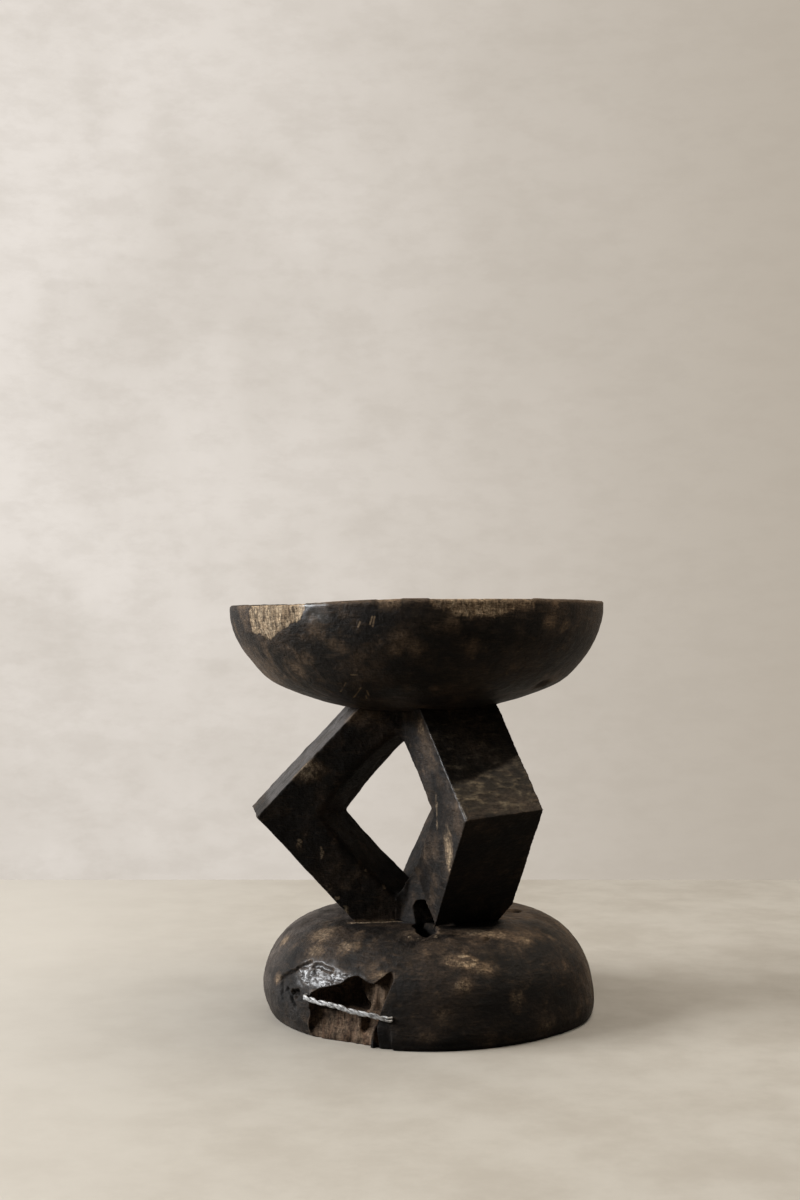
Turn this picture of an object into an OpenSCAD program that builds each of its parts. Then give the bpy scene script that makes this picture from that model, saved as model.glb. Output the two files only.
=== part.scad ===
// Carved wooden stool: a thick dished seat on three elbow legs and a heavy domed foot.
// The stool stands on the plane z = 0. The origin lies on the floor under the middle of the seat.
// An azimuth of 0 points at the viewer, along -Y, and a positive one turns towards +X.

/* [Seat] */
// Diameter of the seat across the rim
seat_d = 340; // [300:1:380]
// Height of the rim above the floor
stool_h = 373; // [345:1:400]
// Height of the seat from the lowest point of its underside to the rim
seat_deep = 103; // [97:1:115]
// Radius of the curve that carries the underside up into the side of the seat
seat_side_r = 82; // [65:1:88]
// Height of the upright band between that curve and the rim
rim_band = 3; // [1:0.5:6]
// Depth of the dish at its middle
dish_depth = 45; // [30:1:60]
// Width of the flat rim round the dish
rim_w = 11; // [7:1:18]

/* [Legs] */
// How far the middle of the legs lies to the right of the middle of the seat
legs_x = 4; // [0:0.5:8]
// Width of the left leg
left_leg_w = 79; // [66:1:88]
// Width of the right leg
right_leg_w = 76; // [66:1:84]
// Width of the rear leg
rear_leg_w = 76; // [66:1:88]
// Direction of the left leg
left_azimuth = -82; // [-88:1:-76]
// Direction of the right leg
right_azimuth = 25.5; // [22:0.5:34]
// Direction of the rear leg
rear_azimuth = 145; // [141:1:153]
// How far the right leg is carved off the middle line, towards its far side
right_leg_shift = 11; // [0:0.5:14]
// Slope of the right leg's elbow edge, in degrees
right_leg_tilt = 4; // [0:0.5:5]
// Reach of the left elbow from the middle of the legs
left_elbow_r = 151; // [136:1:158]
// Reach of the right elbow
right_elbow_r = 138; // [128:1:150]
// Reach of the rear elbow
rear_elbow_r = 146; // [136:1:158]
// Height of the left leg's elbow
left_elbow_z = 183; // [172:1:196]
// Height of the right leg's elbow
right_elbow_z = 191; // [180:1:202]
// Height of the rear leg's elbow
rear_elbow_z = 187; // [176:1:200]
// Reach of the left leg's outer face at the underside of the seat
left_top_r = 67; // [60:1:74]
// Reach of the right leg's outer face there
right_top_r = 73; // [62:1:78]
// Reach of the rear leg's outer face there
rear_top_r = 69; // [60:1:76]
// Reach of the legs' outer faces at the top of the foot
leg_foot_r = 66; // [60:1:72]
// Distance from the middle to the inner ridge of the left leg
left_ridge_r = 67; // [58:1:74]
// Distance from the middle to the inner ridge of the right leg
right_ridge_r = 59; // [52:1:68]
// Distance from the middle to the inner ridge of the rear leg
rear_ridge_r = 66; // [56:1:74]
// Height of the inner ridge of the left leg
left_ridge_z = 181; // [170:1:192]
// Height of the inner ridge of the right leg
right_ridge_z = 186; // [174:1:196]
// Height of the inner ridge of the rear leg
rear_ridge_z = 183; // [172:1:194]
// Wood left between the openings and the underside of the seat
gap_top_wood = 9; // [5:0.5:16]
// Wood left between the openings and the top of the foot
gap_foot_wood = 22; // [14:0.5:28]
// Size of the chamfer at the far bottom corner of the right leg
foot_chamfer = 14; // [8:1:18]
// Height of the notch broken out of the near bottom corner of the right leg
notch_h = 22; // [14:1:28]
// Width of that notch
notch_w = 17; // [10:1:22]
// Depth of that notch into the leg
notch_deep = 14; // [8:1:20]

/* [Foot] */
// How far the middle of the foot lies to the right of the middle of the seat
base_x = 10; // [4:0.5:12]
// Diameter of the foot at its widest
base_d = 301; // [285:1:320]
// Height of the foot
base_h = 87; // [84:1:96]
// Height of the widest line above the floor
belly_z = 19; // [14:1:20]
// Radius of the shoulder, from the upright band above the widest line to the flat top
shoulder_r = 64; // [50:1:66]
// Radius of the heel, from the widest line down to the floor
heel_r = 35; // [28:1:50]
// Direction of the worn flat on the heel
heel_flat_azimuth = -60; // [-66:1:-56]
// How far the worn flat cuts into the heel at the floor
heel_flat_deep = 8; // [4:0.5:9]
// Lean of the worn flat from upright, in degrees
heel_flat_lean = 22; // [16:1:26]

/* [Broken place in the foot] */
// Direction that the broken place faces
break_azimuth = -29.5; // [-32:0.5:-27]
// Depth of its raw flat wood behind the widest line
break_deep = 15; // [12:0.5:18]
// Its reach to the left of its middle
break_left = 34; // [28:1:36]
// Its reach to the right of its middle, up to the split
break_right = 33; // [28:1:36]
// Height of the overhanging lip above the floor
break_lip_z = 54; // [48:1:58]
// Height of the top of the split above the floor
split_top_z = 67; // [62:1:72]
// Depth of the splintered wood beside the split, behind the raw wood
splinter_deep = 9; // [4:0.5:12]
// Depth of the dark hollow behind the raw wood
hollow_deep = 24; // [14:1:32]
// Height of the floor of the hollow
hollow_floor_z = 31; // [26:1:36]

/* [Repair wire] */
// Diameter of each of the two strands
strand_d = 2.5; // [1.6:0.1:3]
// Half turns of the twist between the two holes
half_turns = 10; // [6:1:14]
// Distance from the broken place to the left hole
wire_left_margin = 5; // [4:0.5:8]
// Distance from the split to the right hole
wire_right_margin = 12; // [8:0.5:20]
// Height of the left hole
wire_left_z = 35; // [30:1:42]
// Height of the right hole
wire_right_z = 26; // [22:1:34]
// Length of each bent end inside its hole
wire_grip = 9; // [6:0.5:14]
// Clearance round the wire, and between its strands
wire_clear = 0.3; // [0.2:0.05:0.5]

/* [Hidden] */

round_fn = 96;
hole_fn = 48;
// Far enough to pass through everything.
reach = 2 * stool_h;
// How far a cut starts outside the face that it opens.
cut_over = 1;
seat_r = seat_d / 2;
base_r = base_d / 2;
underside_z = stool_h - seat_deep;
wood = "#2b211b";
wire_metal = "#a9adb0";

// The underside is a shallow arc that runs tangent into the arc of the side.
side_x = seat_r - seat_side_r;
side_z = stool_h - rim_band;
curve_h = side_z - underside_z;
under_r = (pow(curve_h, 2) + pow(side_x, 2) - pow(seat_side_r, 2)) / (2 * (curve_h - seat_side_r));
under_z = underside_z + under_r;

// The dish is part of a ball that meets the rim's inner edge.
dish_r = seat_r - rim_w;
dish_ball_r = (pow(dish_r, 2) + pow(dish_depth, 2)) / (2 * dish_depth);

shoulder_x = base_r - shoulder_r;
shoulder_z = base_h - shoulder_r;
heel_x = base_r - heel_r;
gap_top_z = underside_z - gap_top_wood;
gap_foot_z = base_h + gap_foot_wood;
// The legs are drawn up into the seat and down into the foot, then cut off where these begin.
leg_top_z = underside_z + seat_deep / 4;
leg_bottom_z = base_h / 2;

// Each leg's inner ridge, as [azimuth, reach, height].
left_line = [left_azimuth, left_ridge_r, left_ridge_z];
right_line = [right_azimuth, right_ridge_r, right_ridge_z];
rear_line = [rear_azimuth, rear_ridge_r, rear_ridge_z];
full_turn = [360, 0, 0];

right_leg_turn = [right_leg_tilt, right_leg_shift];
chamfer_turn = 45;
// The notch in the right leg, as shares of its width and its height.
notch_outline = [[-1, 0.9], [-0.8, 1], [0.1, 0.2]];

// Edges of the broken place, as shares of the reach to their side and of the lip's height.
lip_edge = [[-1, 0.73], [-0.1, 0.91], [0.2, 1], [0.9, 0.89]];
hollow_edge = [[-0.1, 0.88], [0.2, 0.96], [0.6, 0.84]];
splinter_edge = [0.6, 0.86];
// Where the hollow's floor ends on each side, and where the splintered wood meets it.
hollow_floor_ends = [-0.45, 0.5];
splinter_floor_end = 0.45;
// The lowest point of the splintered wood, as shares of the right reach and the floor's height.
splinter_foot = [0.8, 0.8];
// How far the split leans out to the right at its top and halfway up.
split_top_lean = 1.24;
split_middle_lean = 1.06;

wire_r = strand_d + wire_clear / 2;
wire_bend_r = wire_r + 2 * wire_clear;
wire_hole_r = wire_r + wire_clear;
wire_left_azimuth = break_azimuth - asin((break_left + wire_left_margin) / base_r);
wire_right_azimuth = break_azimuth + asin((break_right + wire_right_margin) / base_r);
// The bends at the two holes, and the places along the wire where its points lie.
span_bend = wire_bend_r / base_r * 180 / PI;
span_share = span_bend / (wire_right_azimuth - wire_left_azimuth);
bend_steps = 4;
span_steps = 52;
strand_sides = 8;

// Turns what is drawn along +X so that it points to an azimuth.
module face(azimuth) {
    rotate([0, 0, azimuth - 90])
        children();
}

// Direction of an azimuth as a unit vector.
function outward(azimuth) = [sin(azimuth), -cos(azimuth), 0];

// Radius of the foot's surface at a height.
function foot_radius(z) =
    z > shoulder_z ? shoulder_x + sqrt(pow(shoulder_r, 2) - pow(z - shoulder_z, 2))
    : z > belly_z ? base_r
    : heel_x + sqrt(pow(heel_r, 2) - pow(z - belly_z, 2));

// Seat

module seat_section() {
    intersection() {
        union() {
            translate([side_x, side_z])
                circle(r = seat_side_r, $fn = round_fn);
            intersection() {
                translate([0, under_z])
                    circle(r = under_r, $fn = round_fn);
                polygon([
                    [0, under_z],
                    [side_x, side_z] + 2 * ([side_x, side_z] - [0, under_z]),
                    [0, -reach]
                ]);
            }
            translate([0, side_z])
                square([seat_r, rim_band]);
        }
        square([seat_r, stool_h]);
    }
}

module seat_body() {
    rotate_extrude($fn = round_fn)
        seat_section();
}

module seat() {
    color(wood)
        difference() {
            seat_body();
            translate([0, 0, stool_h - dish_depth + dish_ball_r])
                sphere(r = dish_ball_r, $fn = round_fn);
        }
}

// Legs

// Side view of a leg: the outer chevron, closed behind the middle line.
module leg_side(elbow_r, elbow_z, top_r) {
    top_slope = (elbow_r - top_r) / (underside_z - elbow_z);
    foot_slope = (elbow_r - leg_foot_r) / (elbow_z - base_h);
    polygon([
        [elbow_r - foot_slope * (elbow_z - leg_bottom_z), leg_bottom_z],
        [elbow_r, elbow_z],
        [elbow_r - top_slope * (leg_top_z - elbow_z), leg_top_z],
        [-leg_foot_r, leg_top_z],
        [-leg_foot_r, leg_bottom_z]
    ]);
}

// Everything between two azimuths, from the floor to the rim.
module sector(from, to) {
    middle = (from + to) / 2;
    linear_extrude(height = stool_h)
        polygon([
            [0, 0],
            [reach * sin(from), -reach * cos(from)],
            [reach * sin(middle), -reach * cos(middle)],
            [reach * sin(to), -reach * cos(to)]
        ]);
}

// The opening between two legs, each given as [azimuth, reach and height of its ridge]:
// a diamond prism through the middle, with its side corners on the two ridges. Behind the
// middle it lies inside the opening on the leg's other side and takes no wood.
module gap_between(from, to) {
    half_angle = (to[0] - from[0]) / 2;
    face(from[0] + half_angle)
        rotate([90, 0, 90])
            linear_extrude(height = 2 * reach, center = true)
                polygon([
                    [0, gap_foot_z],
                    [to[1] * sin(half_angle), to[2]],
                    [0, gap_top_z],
                    [-from[1] * sin(half_angle), from[2]]
                ]);
}

// Stands a side view, drawn with x outwards and y up, in a leg's place. Its thickness starts
// at the leg's far side. turn is how far the leg goes off level and off the middle line, as
// [tilt, shift].
module stand_leg(azimuth, width, elbow_z, turn) {
    face(azimuth)
        translate([0, turn[1], elbow_z])
            rotate([90 + turn[0], 0, 0])
                translate([0, -elbow_z, -width / 2])
                    children();
}

// One leg between its two neighbours.
module carved_leg(leg, before, after, width, elbow_r, elbow_z, top_r, turn = [0, 0]) {
    difference() {
        translate([legs_x, 0, 0])
            difference() {
                intersection() {
                    stand_leg(leg[0], width, elbow_z, turn)
                        linear_extrude(height = width)
                            leg_side(elbow_r, elbow_z, top_r);
                    sector((before[0] + leg[0]) / 2, (leg[0] + after[0]) / 2);
                    translate([0, 0, base_h + stool_h / 2])
                        cube([reach, reach, stool_h], center = true);
                }
                gap_between(before, leg);
                gap_between(leg, after);
            }
        seat_body();
    }
}

module left_leg() {
    color(wood)
        carved_leg(
            left_line, rear_line - full_turn, right_line,
            left_leg_w, left_elbow_r, left_elbow_z, left_top_r
        );
}

// The edge of the right leg's foot that was taken off on the far side.
module chamfer_cut() {
    translate([0, base_h, 0])
        rotate([chamfer_turn, 0, 0])
            translate([-reach / 2, -foot_chamfer, -2 * foot_chamfer])
                cube([reach, foot_chamfer * (1 + sin(chamfer_turn)), 4 * foot_chamfer]);
}

// The corner of the right leg's foot that broke out on the near side.
module notch_cut() {
    translate([leg_foot_r, base_h, right_leg_w - notch_deep])
        linear_extrude(height = notch_deep + cut_over)
            polygon([
                [notch_outline[0][0] * notch_w, -notch_h],
                for (share = notch_outline) [share[0] * notch_w, share[1] * notch_h],
                [notch_outline[2][0] * notch_w, -notch_h]
            ]);
}

module right_leg() {
    color(wood)
        difference() {
            carved_leg(
                right_line, left_line, rear_line,
                right_leg_w, right_elbow_r, right_elbow_z, right_top_r, right_leg_turn
            );
            translate([legs_x, 0, 0])
                stand_leg(right_azimuth, right_leg_w, right_elbow_z, right_leg_turn) {
                    chamfer_cut();
                    notch_cut();
                }
        }
}

module rear_leg() {
    color(wood)
        carved_leg(
            rear_line, right_line, left_line + full_turn,
            rear_leg_w, rear_elbow_r, rear_elbow_z, rear_top_r
        );
}

// Foot

module foot_section() {
    intersection() {
        union() {
            translate([shoulder_x, shoulder_z])
                circle(r = shoulder_r, $fn = round_fn);
            square([shoulder_x, base_h]);
            square([base_r, shoulder_z]);
        }
        translate([0, belly_z])
            square([base_r, base_h]);
    }
    intersection() {
        union() {
            translate([heel_x, belly_z])
                circle(r = heel_r, $fn = round_fn);
            square([heel_x, belly_z]);
        }
        square([base_r, belly_z]);
    }
}

// Places in the broken place, seen from in front of it: x to the right, z up.
function break_x(share) = share * (share < 0 ? break_left : break_right);
function break_point(share) = [break_x(share[0]), share[1] * break_lip_z];
split_top = [break_x(split_top_lean), split_top_z];
split_middle = [break_x(split_middle_lean), split_top_z / 2];

// Cuts an outline of the broken place into the foot, down to a depth behind the widest line.
module cut_at_break(deep) {
    face(break_azimuth)
        translate([base_r - deep, 0, 0])
            rotate([90, 0, 90])
                linear_extrude(height = base_r)
                    children();
}

// The raw flat wood, open towards the floor.
module break_cut() {
    cut_at_break(break_deep)
        polygon([
            [break_x(-1), -cut_over],
            for (share = lip_edge) break_point(share),
            split_top,
            split_middle,
            [break_x(1), -cut_over]
        ]);
}

// The splintered wood between the hollow and the split.
module splinter_cut() {
    cut_at_break(break_deep + splinter_deep)
        polygon([
            [break_x(splinter_floor_end), hollow_floor_z],
            break_point(splinter_edge),
            split_top,
            split_middle,
            [break_x(splinter_foot[0]), splinter_foot[1] * hollow_floor_z]
        ]);
}

// The deep hollow under the lip.
module hollow_cut() {
    cut_at_break(break_deep + hollow_deep)
        polygon([
            [break_x(hollow_floor_ends[0]), hollow_floor_z],
            for (share = hollow_edge) break_point(share),
            [break_x(hollow_floor_ends[1]), hollow_floor_z]
        ]);
}

// The worn flat low on the heel leans back to meet the widest line.
module heel_flat_cut() {
    face(heel_flat_azimuth)
        translate([foot_radius(0) - heel_flat_deep, 0, 0])
            rotate([0, heel_flat_lean, 0])
                translate([0, -base_r, -base_h])
                    cube([base_r, base_d, 2 * base_h]);
}

// A round hole for one bent end of the wire.
module wire_hole(azimuth, z) {
    depth = wire_grip + wire_clear;
    face(azimuth)
        translate([foot_radius(z) - depth, 0, z])
            rotate([0, 90, 0])
                cylinder(r = wire_hole_r, h = depth + wire_bend_r + wire_hole_r, $fn = hole_fn);
}

module foot() {
    color(wood)
        translate([base_x, 0, 0])
            difference() {
                rotate_extrude($fn = round_fn)
                    foot_section();
                break_cut();
                splinter_cut();
                hollow_cut();
                heel_flat_cut();
                wire_hole(wire_left_azimuth, wire_left_z);
                wire_hole(wire_right_azimuth, wire_right_z);
            }
}

// Repair wire: two strands twisted together, bent into a hole at each end.

// Azimuth and height of the wire's middle line at a share of the way between the holes.
function span_place(t) = [
    wire_left_azimuth + t * (wire_right_azimuth - wire_left_azimuth),
    wire_left_z + t * (wire_right_z - wire_left_z)
];

// A point at a distance outside the foot's surface.
function wire_point(azimuth, z, proud) =
    (foot_radius(z) + proud) * outward(azimuth) + [base_x, 0, z];

function left_point(angle) = wire_point(
    wire_left_azimuth + span_bend * (1 - cos(angle)), wire_left_z, wire_bend_r * sin(angle));

function right_point(angle) = wire_point(
    wire_right_azimuth - span_bend * (1 - cos(angle)), wire_right_z, wire_bend_r * sin(angle));

middle_line = [
    wire_point(wire_left_azimuth, wire_left_z, -wire_grip),
    wire_point(wire_left_azimuth, wire_left_z, -wire_grip / 2),
    for (i = [0 : bend_steps - 1]) left_point(90 * i / bend_steps),
    for (i = [0 : span_steps])
        let (t = span_share + (1 - 2 * span_share) * i / span_steps)
        wire_point(span_place(t)[0], span_place(t)[1], wire_bend_r),
    for (i = [bend_steps - 1 : -1 : 0]) right_point(90 * i / bend_steps),
    wire_point(wire_right_azimuth, wire_right_z, -wire_grip / 2),
    wire_point(wire_right_azimuth, wire_right_z, -wire_grip)
];

function unit(v) = v / norm(v);
function along(i) = unit(
    middle_line[min(i + 1, len(middle_line) - 1)] - middle_line[max(i - 1, 0)]);
function across(i) = unit(cross([0, 0, 1], along(i)));
function upward(i) = cross(along(i), across(i));

// The strand's angle round the middle line. It turns only along the span.
function turned(i) = 180 * half_turns
    * min(max((i - bend_steps - 2) / span_steps, 0), 1);

module strand(start) {
    rings = len(middle_line);
    off = strand_d / 2 + wire_clear / 4;
    points = [
        for (i = [0 : rings - 1])
            let (a = start + turned(i))
            let (centre = middle_line[i] + off * (cos(a) * across(i) + sin(a) * upward(i)))
            for (k = [0 : strand_sides - 1])
                let (b = 360 * k / strand_sides)
                centre + strand_d / 2 * (cos(b) * across(i) + sin(b) * upward(i))
    ];
    walls = [
        for (i = [0 : rings - 2])
            for (k = [0 : strand_sides - 1])
                let (m = i * strand_sides + k)
                let (n = i * strand_sides + (k + 1) % strand_sides)
                each [[m, n, n + strand_sides], [m, n + strand_sides, m + strand_sides]]
    ];
    last = (rings - 1) * strand_sides;
    ends = [
        for (k = [1 : strand_sides - 2])
            each [[0, k + 1, k], [last, last + k, last + k + 1]]
    ];
    polyhedron(points = points, faces = concat(walls, ends));
}

module wire_strand_a() {
    color(wire_metal)
        strand(90);
}

module wire_strand_b() {
    color(wire_metal)
        strand(270);
}

seat();
left_leg();
right_leg();
rear_leg();
foot();
wire_strand_a();
wire_strand_b();
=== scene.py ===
# %% [markdown]
# # A stool carved from one block of dark wood
# The stool has a dished round seat, three elbow-shaped legs and a heavy domed foot, all cut from
# the same block. An old break in the foot is held by a twisted wire. The measured solids come
# from the frame. Here each of them gets the skin that a carver's blade, many hands and many
# years have left: soft scoops, rounded edges, dents, cracks and bare patches.

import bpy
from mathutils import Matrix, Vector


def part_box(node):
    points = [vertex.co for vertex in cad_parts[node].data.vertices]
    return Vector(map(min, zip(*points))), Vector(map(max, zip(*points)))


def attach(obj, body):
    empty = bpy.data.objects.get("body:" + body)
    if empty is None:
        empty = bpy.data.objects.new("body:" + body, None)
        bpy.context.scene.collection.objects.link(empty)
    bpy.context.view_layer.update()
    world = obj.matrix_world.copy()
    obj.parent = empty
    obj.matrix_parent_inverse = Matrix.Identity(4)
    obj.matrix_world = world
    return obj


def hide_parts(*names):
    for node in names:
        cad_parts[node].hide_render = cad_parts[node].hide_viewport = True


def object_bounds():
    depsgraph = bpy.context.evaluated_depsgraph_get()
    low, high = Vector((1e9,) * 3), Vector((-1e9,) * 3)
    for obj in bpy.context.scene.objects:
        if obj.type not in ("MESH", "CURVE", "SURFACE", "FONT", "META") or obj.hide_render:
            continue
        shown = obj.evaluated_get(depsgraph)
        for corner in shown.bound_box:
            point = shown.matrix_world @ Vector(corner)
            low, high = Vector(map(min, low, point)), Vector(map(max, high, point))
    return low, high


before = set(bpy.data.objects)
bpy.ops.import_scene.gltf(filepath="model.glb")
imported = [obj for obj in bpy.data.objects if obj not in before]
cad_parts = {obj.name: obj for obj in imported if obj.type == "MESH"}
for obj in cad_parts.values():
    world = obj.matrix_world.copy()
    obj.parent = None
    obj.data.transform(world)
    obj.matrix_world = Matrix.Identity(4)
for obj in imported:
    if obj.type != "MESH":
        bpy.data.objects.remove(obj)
cad_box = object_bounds()
print("measured solids:", sorted(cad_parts))

# %% Bring in Blender and set the units
import math

import bmesh
import bpy
import numpy as np
from mathutils import Matrix, Vector

MM = 0.001
# While trying things out, a coarser skin saves time.
coarse = 1.0


def box_mm(node):
    low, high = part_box(node)
    return np.array(low) / MM, np.array(high) / MM


seat_low, seat_high = box_mm("seat")
foot_low, foot_high = box_mm("foot")
seat_r = (seat_high[0] - seat_low[0]) / 2
rim_z = seat_high[2]
underside_z = seat_low[2]
foot_r = (foot_high[0] - foot_low[0]) / 2
foot_x = (foot_high[0] + foot_low[0]) / 2
foot_z = foot_high[2]
print("seat radius", round(seat_r, 1), "rim height", round(rim_z, 1), "foot height", round(foot_z, 1))

# %% [markdown]
# ## Light, floor and camera
# The photograph was taken from the height of the rim, about a metre and a half away. Most of the
# light comes low from a wide window on the left. A small lamp high on the right draws the shadow
# of the seat across the right leg. It shines on the stool alone, by light linking, because the
# floor in the photograph shows no second shadow. The window is linked too, so that the floor gets
# a weaker copy of it and a paler shadow. A large ceiling lamp fills the rest, and a second one
# lightens the floor alone.

# %% Set the camera
camera_x = -14.7
camera_y = -1503.0
camera_lens = 49.4
camera_drop = 1.8
camera = bpy.data.objects.new("camera", bpy.data.cameras.new("camera"))
camera.data.lens = camera_lens
camera.data.clip_end = 50
camera.location = Vector((camera_x, camera_y, rim_z - camera_drop)) * MM
camera.rotation_euler = (math.radians(90), 0, 0)
bpy.context.scene.collection.objects.link(camera)
bpy.context.scene.camera = camera
bpy.context.scene.view_settings.view_transform = "Standard"
print("camera at", [round(v, 3) for v in camera.location])


# %% Hang the lamps
lamp_aim = Vector((0, 0, 0.2))
daylight = (0.94, 0.97, 1.0)
ceiling_light = (1.0, 0.96, 0.90)
warm_light = (1.0, 0.92, 0.80)


def direction(azimuth, height):
    """Unit vector towards an azimuth (0 is the viewer, positive is right) and a height, in degrees."""
    a, h = math.radians(azimuth), math.radians(height)
    return Vector((math.sin(a) * math.cos(h), -math.cos(a) * math.cos(h), math.sin(h)))


def soft_lamp(name, azimuth, height, distance, size, level, colour, shines_on=None):
    """A rectangle of light. At level 1 a surface that faces it shows its colour as written."""
    lamp = bpy.data.lights.new(name, "AREA")
    lamp.shape = "RECTANGLE"
    lamp.size, lamp.size_y = size
    lamp.energy = level * math.pi ** 2 * distance ** 2
    lamp.color = colour
    holder = bpy.data.objects.new(name, lamp)
    towards = direction(azimuth, height)
    middle = lamp_aim + towards * distance
    holder.matrix_world = Matrix.Translation(middle) @ towards.to_track_quat("Z", "Y").to_matrix().to_4x4()
    holder.light_linking.receiver_collection = shines_on
    bpy.context.scene.collection.objects.link(holder)
    print(name, "at", [round(v, 2) for v in middle], "power", round(lamp.energy), "W")


stool_pieces = bpy.data.collections.new("stool_pieces")
floor_alone = bpy.data.collections.new("floor_alone")
soft_lamp("ceiling", 120, 74, 2.6, (2.6, 2.6), 0.42, ceiling_light)
soft_lamp("window", -86, 22, 4.2, (2.8, 0.75), 2.6, daylight, stool_pieces)
soft_lamp("window_on_the_floor", -78, 22, 3.4, (2.3, 0.6), 1.3, daylight, floor_alone)
soft_lamp("ceiling_on_the_floor", 60, 72, 2.6, (3.0, 3.0), 0.35, ceiling_light, floor_alone)
soft_lamp("right", 64, 62.5, 3.0, (0.11, 0.11), 1.05, warm_light, stool_pieces)


# %% Join shader nodes
def new_material(name):
    material = bpy.data.materials.new(name)
    material.use_nodes = True
    material.node_tree.nodes.clear()
    return material


def plug(value, socket):
    """Joins another node's output to a socket, or writes a plain value there."""
    if isinstance(value, bpy.types.NodeSocket):
        tree.links.new(value, socket)
    else:
        socket.default_value = value


def add(kind, inputs=None, **settings):
    """New node in the tree that is being filled."""
    new = tree.nodes.new("ShaderNode" + kind)
    for key, value in settings.items():
        setattr(new, key, value)
    for key, value in (inputs or {}).items():
        plug(value, new.inputs[key])
    return new


def reckon(how, a, b, clamp=False):
    return add("Math", {0: a, 1: b}, operation=how, use_clamp=clamp).outputs["Value"]


def times(a, b):
    return reckon("MULTIPLY", a, b)


def larger(a, b):
    return reckon("MAXIMUM", a, b)


def plus(a, b):
    """Sum that stays between 0 and 1."""
    return reckon("ADD", a, b, clamp=True)


def minus(a, b):
    """Difference that stays between 0 and 1."""
    return reckon("SUBTRACT", a, b, clamp=True)


def stretch(value, low, high):
    """0 at low, 1 at high and smooth between. low may be the larger one."""
    return add("MapRange", {"Value": value, "From Min": low, "From Max": high},
               interpolation_type="SMOOTHSTEP").outputs["Result"]


def rescale(value, low, high, new_low, new_high):
    return add("MapRange", {"Value": value, "From Min": low, "From Max": high,
                            "To Min": new_low, "To Max": new_high}).outputs["Result"]


def blend(share, under, over):
    """Mixes two colours."""
    new = add("Mix", data_type="RGBA")
    for value, socket in ((share, 0), (under, 6), (over, 7)):
        plug(value, new.inputs[socket])
    return new.outputs[2]


def layered(colour, *layers):
    """Lays colours over one another, each given with its share first."""
    for share, over in layers:
        colour = blend(share, colour, over)
    return colour


def axis(place, name):
    return add("SeparateXYZ", {"Vector": place}).outputs[name]


def drawn_out(place, up):
    """Places scaled in height: under 1 makes tall marks and over 1 makes level ones."""
    return add("Mapping", {"Vector": place, "Scale": (1, 1, up)}).outputs["Vector"]


def cloud(place, scale, detail=5, roughness=0.6):
    return add("TexNoise", {"Vector": place, "Scale": scale, "Detail": detail,
                            "Roughness": roughness}).outputs["Fac"]


def seen_share():
    """1 for what the camera sees, also in gloss or through glass."""
    rays = add("LightPath").outputs
    return larger(larger(rays["Is Camera Ray"], rays["Is Glossy Ray"]), rays["Is Transmission Ray"])


print("node helpers ready")

# %% Lay the floor
floor_back = 682
floor_side = 4000
floor_front = -4000
plain_floor = (0.520, 0.464, 0.388, 1)
cloudy_floor = (0.600, 0.545, 0.465, 1)
# The floor is paler towards the left, as painted window light.
floor_in_painted_window_light = (0.70, 0.645, 0.57, 1)
floor_for_bounces = (0.17, 0.155, 0.13, 1)

floor_mesh = bpy.data.meshes.new("floor")
floor_corners = [(-floor_side, floor_front, 0), (floor_side, floor_front, 0),
                 (floor_side, floor_back, 0), (-floor_side, floor_back, 0)]
floor_mesh.from_pydata([Vector(c) * MM for c in floor_corners], [], [(0, 1, 2, 3)])
floor = bpy.data.objects.new("floor", floor_mesh)
bpy.context.scene.collection.objects.link(floor)

plaster = new_material("pale_floor")
tree = plaster.node_tree
floor_place = add("TexCoord").outputs["Object"]
floor_colour = layered(
    plain_floor,
    (stretch(cloud(floor_place, 11, 10, 0.66), 0.32, 0.66), cloudy_floor),
    (times(stretch(axis(floor_place, "X"), 0.05, -0.50), 0.75), floor_in_painted_window_light))
floor_colour = blend(seen_share(), floor_for_bounces, floor_colour)
floor_shader = add("BsdfPrincipled", {"Base Color": floor_colour, "Roughness": 0.8,
                                      "Specular IOR Level": 0.2})
add("OutputMaterial", {"Surface": floor_shader.outputs["BSDF"]})
floor_mesh.materials.append(plaster)
floor_alone.objects.link(floor)
print("floor ends", floor_back, "mm behind the stool")

# %% Colour the world
# The wall is paler on the left, by the window, and darker to the right and low down, as painted light and
# shade. Its clouds and trowel marks are plaster.
wall_left = (0.815, 0.760, 0.705, 1)
wall_right = (0.455, 0.400, 0.330, 1)
wall_shade = (0.40, 0.35, 0.29, 1)
wall_cloud = (0.50, 0.45, 0.385, 1)
dark_room = (0.09, 0.085, 0.08, 1)

world = bpy.data.worlds.new("studio")
bpy.context.scene.world = world
world.use_nodes = True
tree = world.node_tree
tree.nodes.clear()
look = add("TexCoord").outputs["Generated"]
trowelled = cloud(drawn_out(look, 2.2), 36, 7, 0.66)
behind_viewer = stretch(axis(look, "Y"), 0.35, -0.25)
wall_colour = layered(
    wall_left,
    (stretch(axis(look, "X"), -0.27, 0.34), wall_right),
    (times(stretch(axis(look, "Z"), 0.05, -0.20), 0.14), wall_shade),
    (times(stretch(cloud(look, 9, 8), 0.35, 0.7), 0.35), wall_cloud),
    (times(stretch(trowelled, 0.40, 0.66), 0.13), wall_shade),
    (times(add("LightPath").outputs["Is Glossy Ray"], behind_viewer), dark_room))
fill = add("Background", {"Color": (*ceiling_light, 1), "Strength": 0.10})
backdrop = add("Background", {"Color": wall_colour, "Strength": 1.0})
pick_world = add("MixShader", {"Fac": seen_share(), 1: fill.outputs["Background"],
                               2: backdrop.outputs["Background"]})
add("OutputWorld", {"Surface": pick_world.outputs["Shader"]})
print("wall colour runs from", wall_left[:3], "to", wall_right[:3])

# %% [markdown]
# ## Tools for carving
# A carved surface is a plain form first, and then thousands of small cuts. The plain forms are
# turned or sawn from outlines and cut with booleans. The remesh modifier then lays an even skin
# over the legs and the foot. Nearly every later mark is a small move of the skin's points along
# their normals, by an amount that a mask or noise gives for each point.


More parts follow.
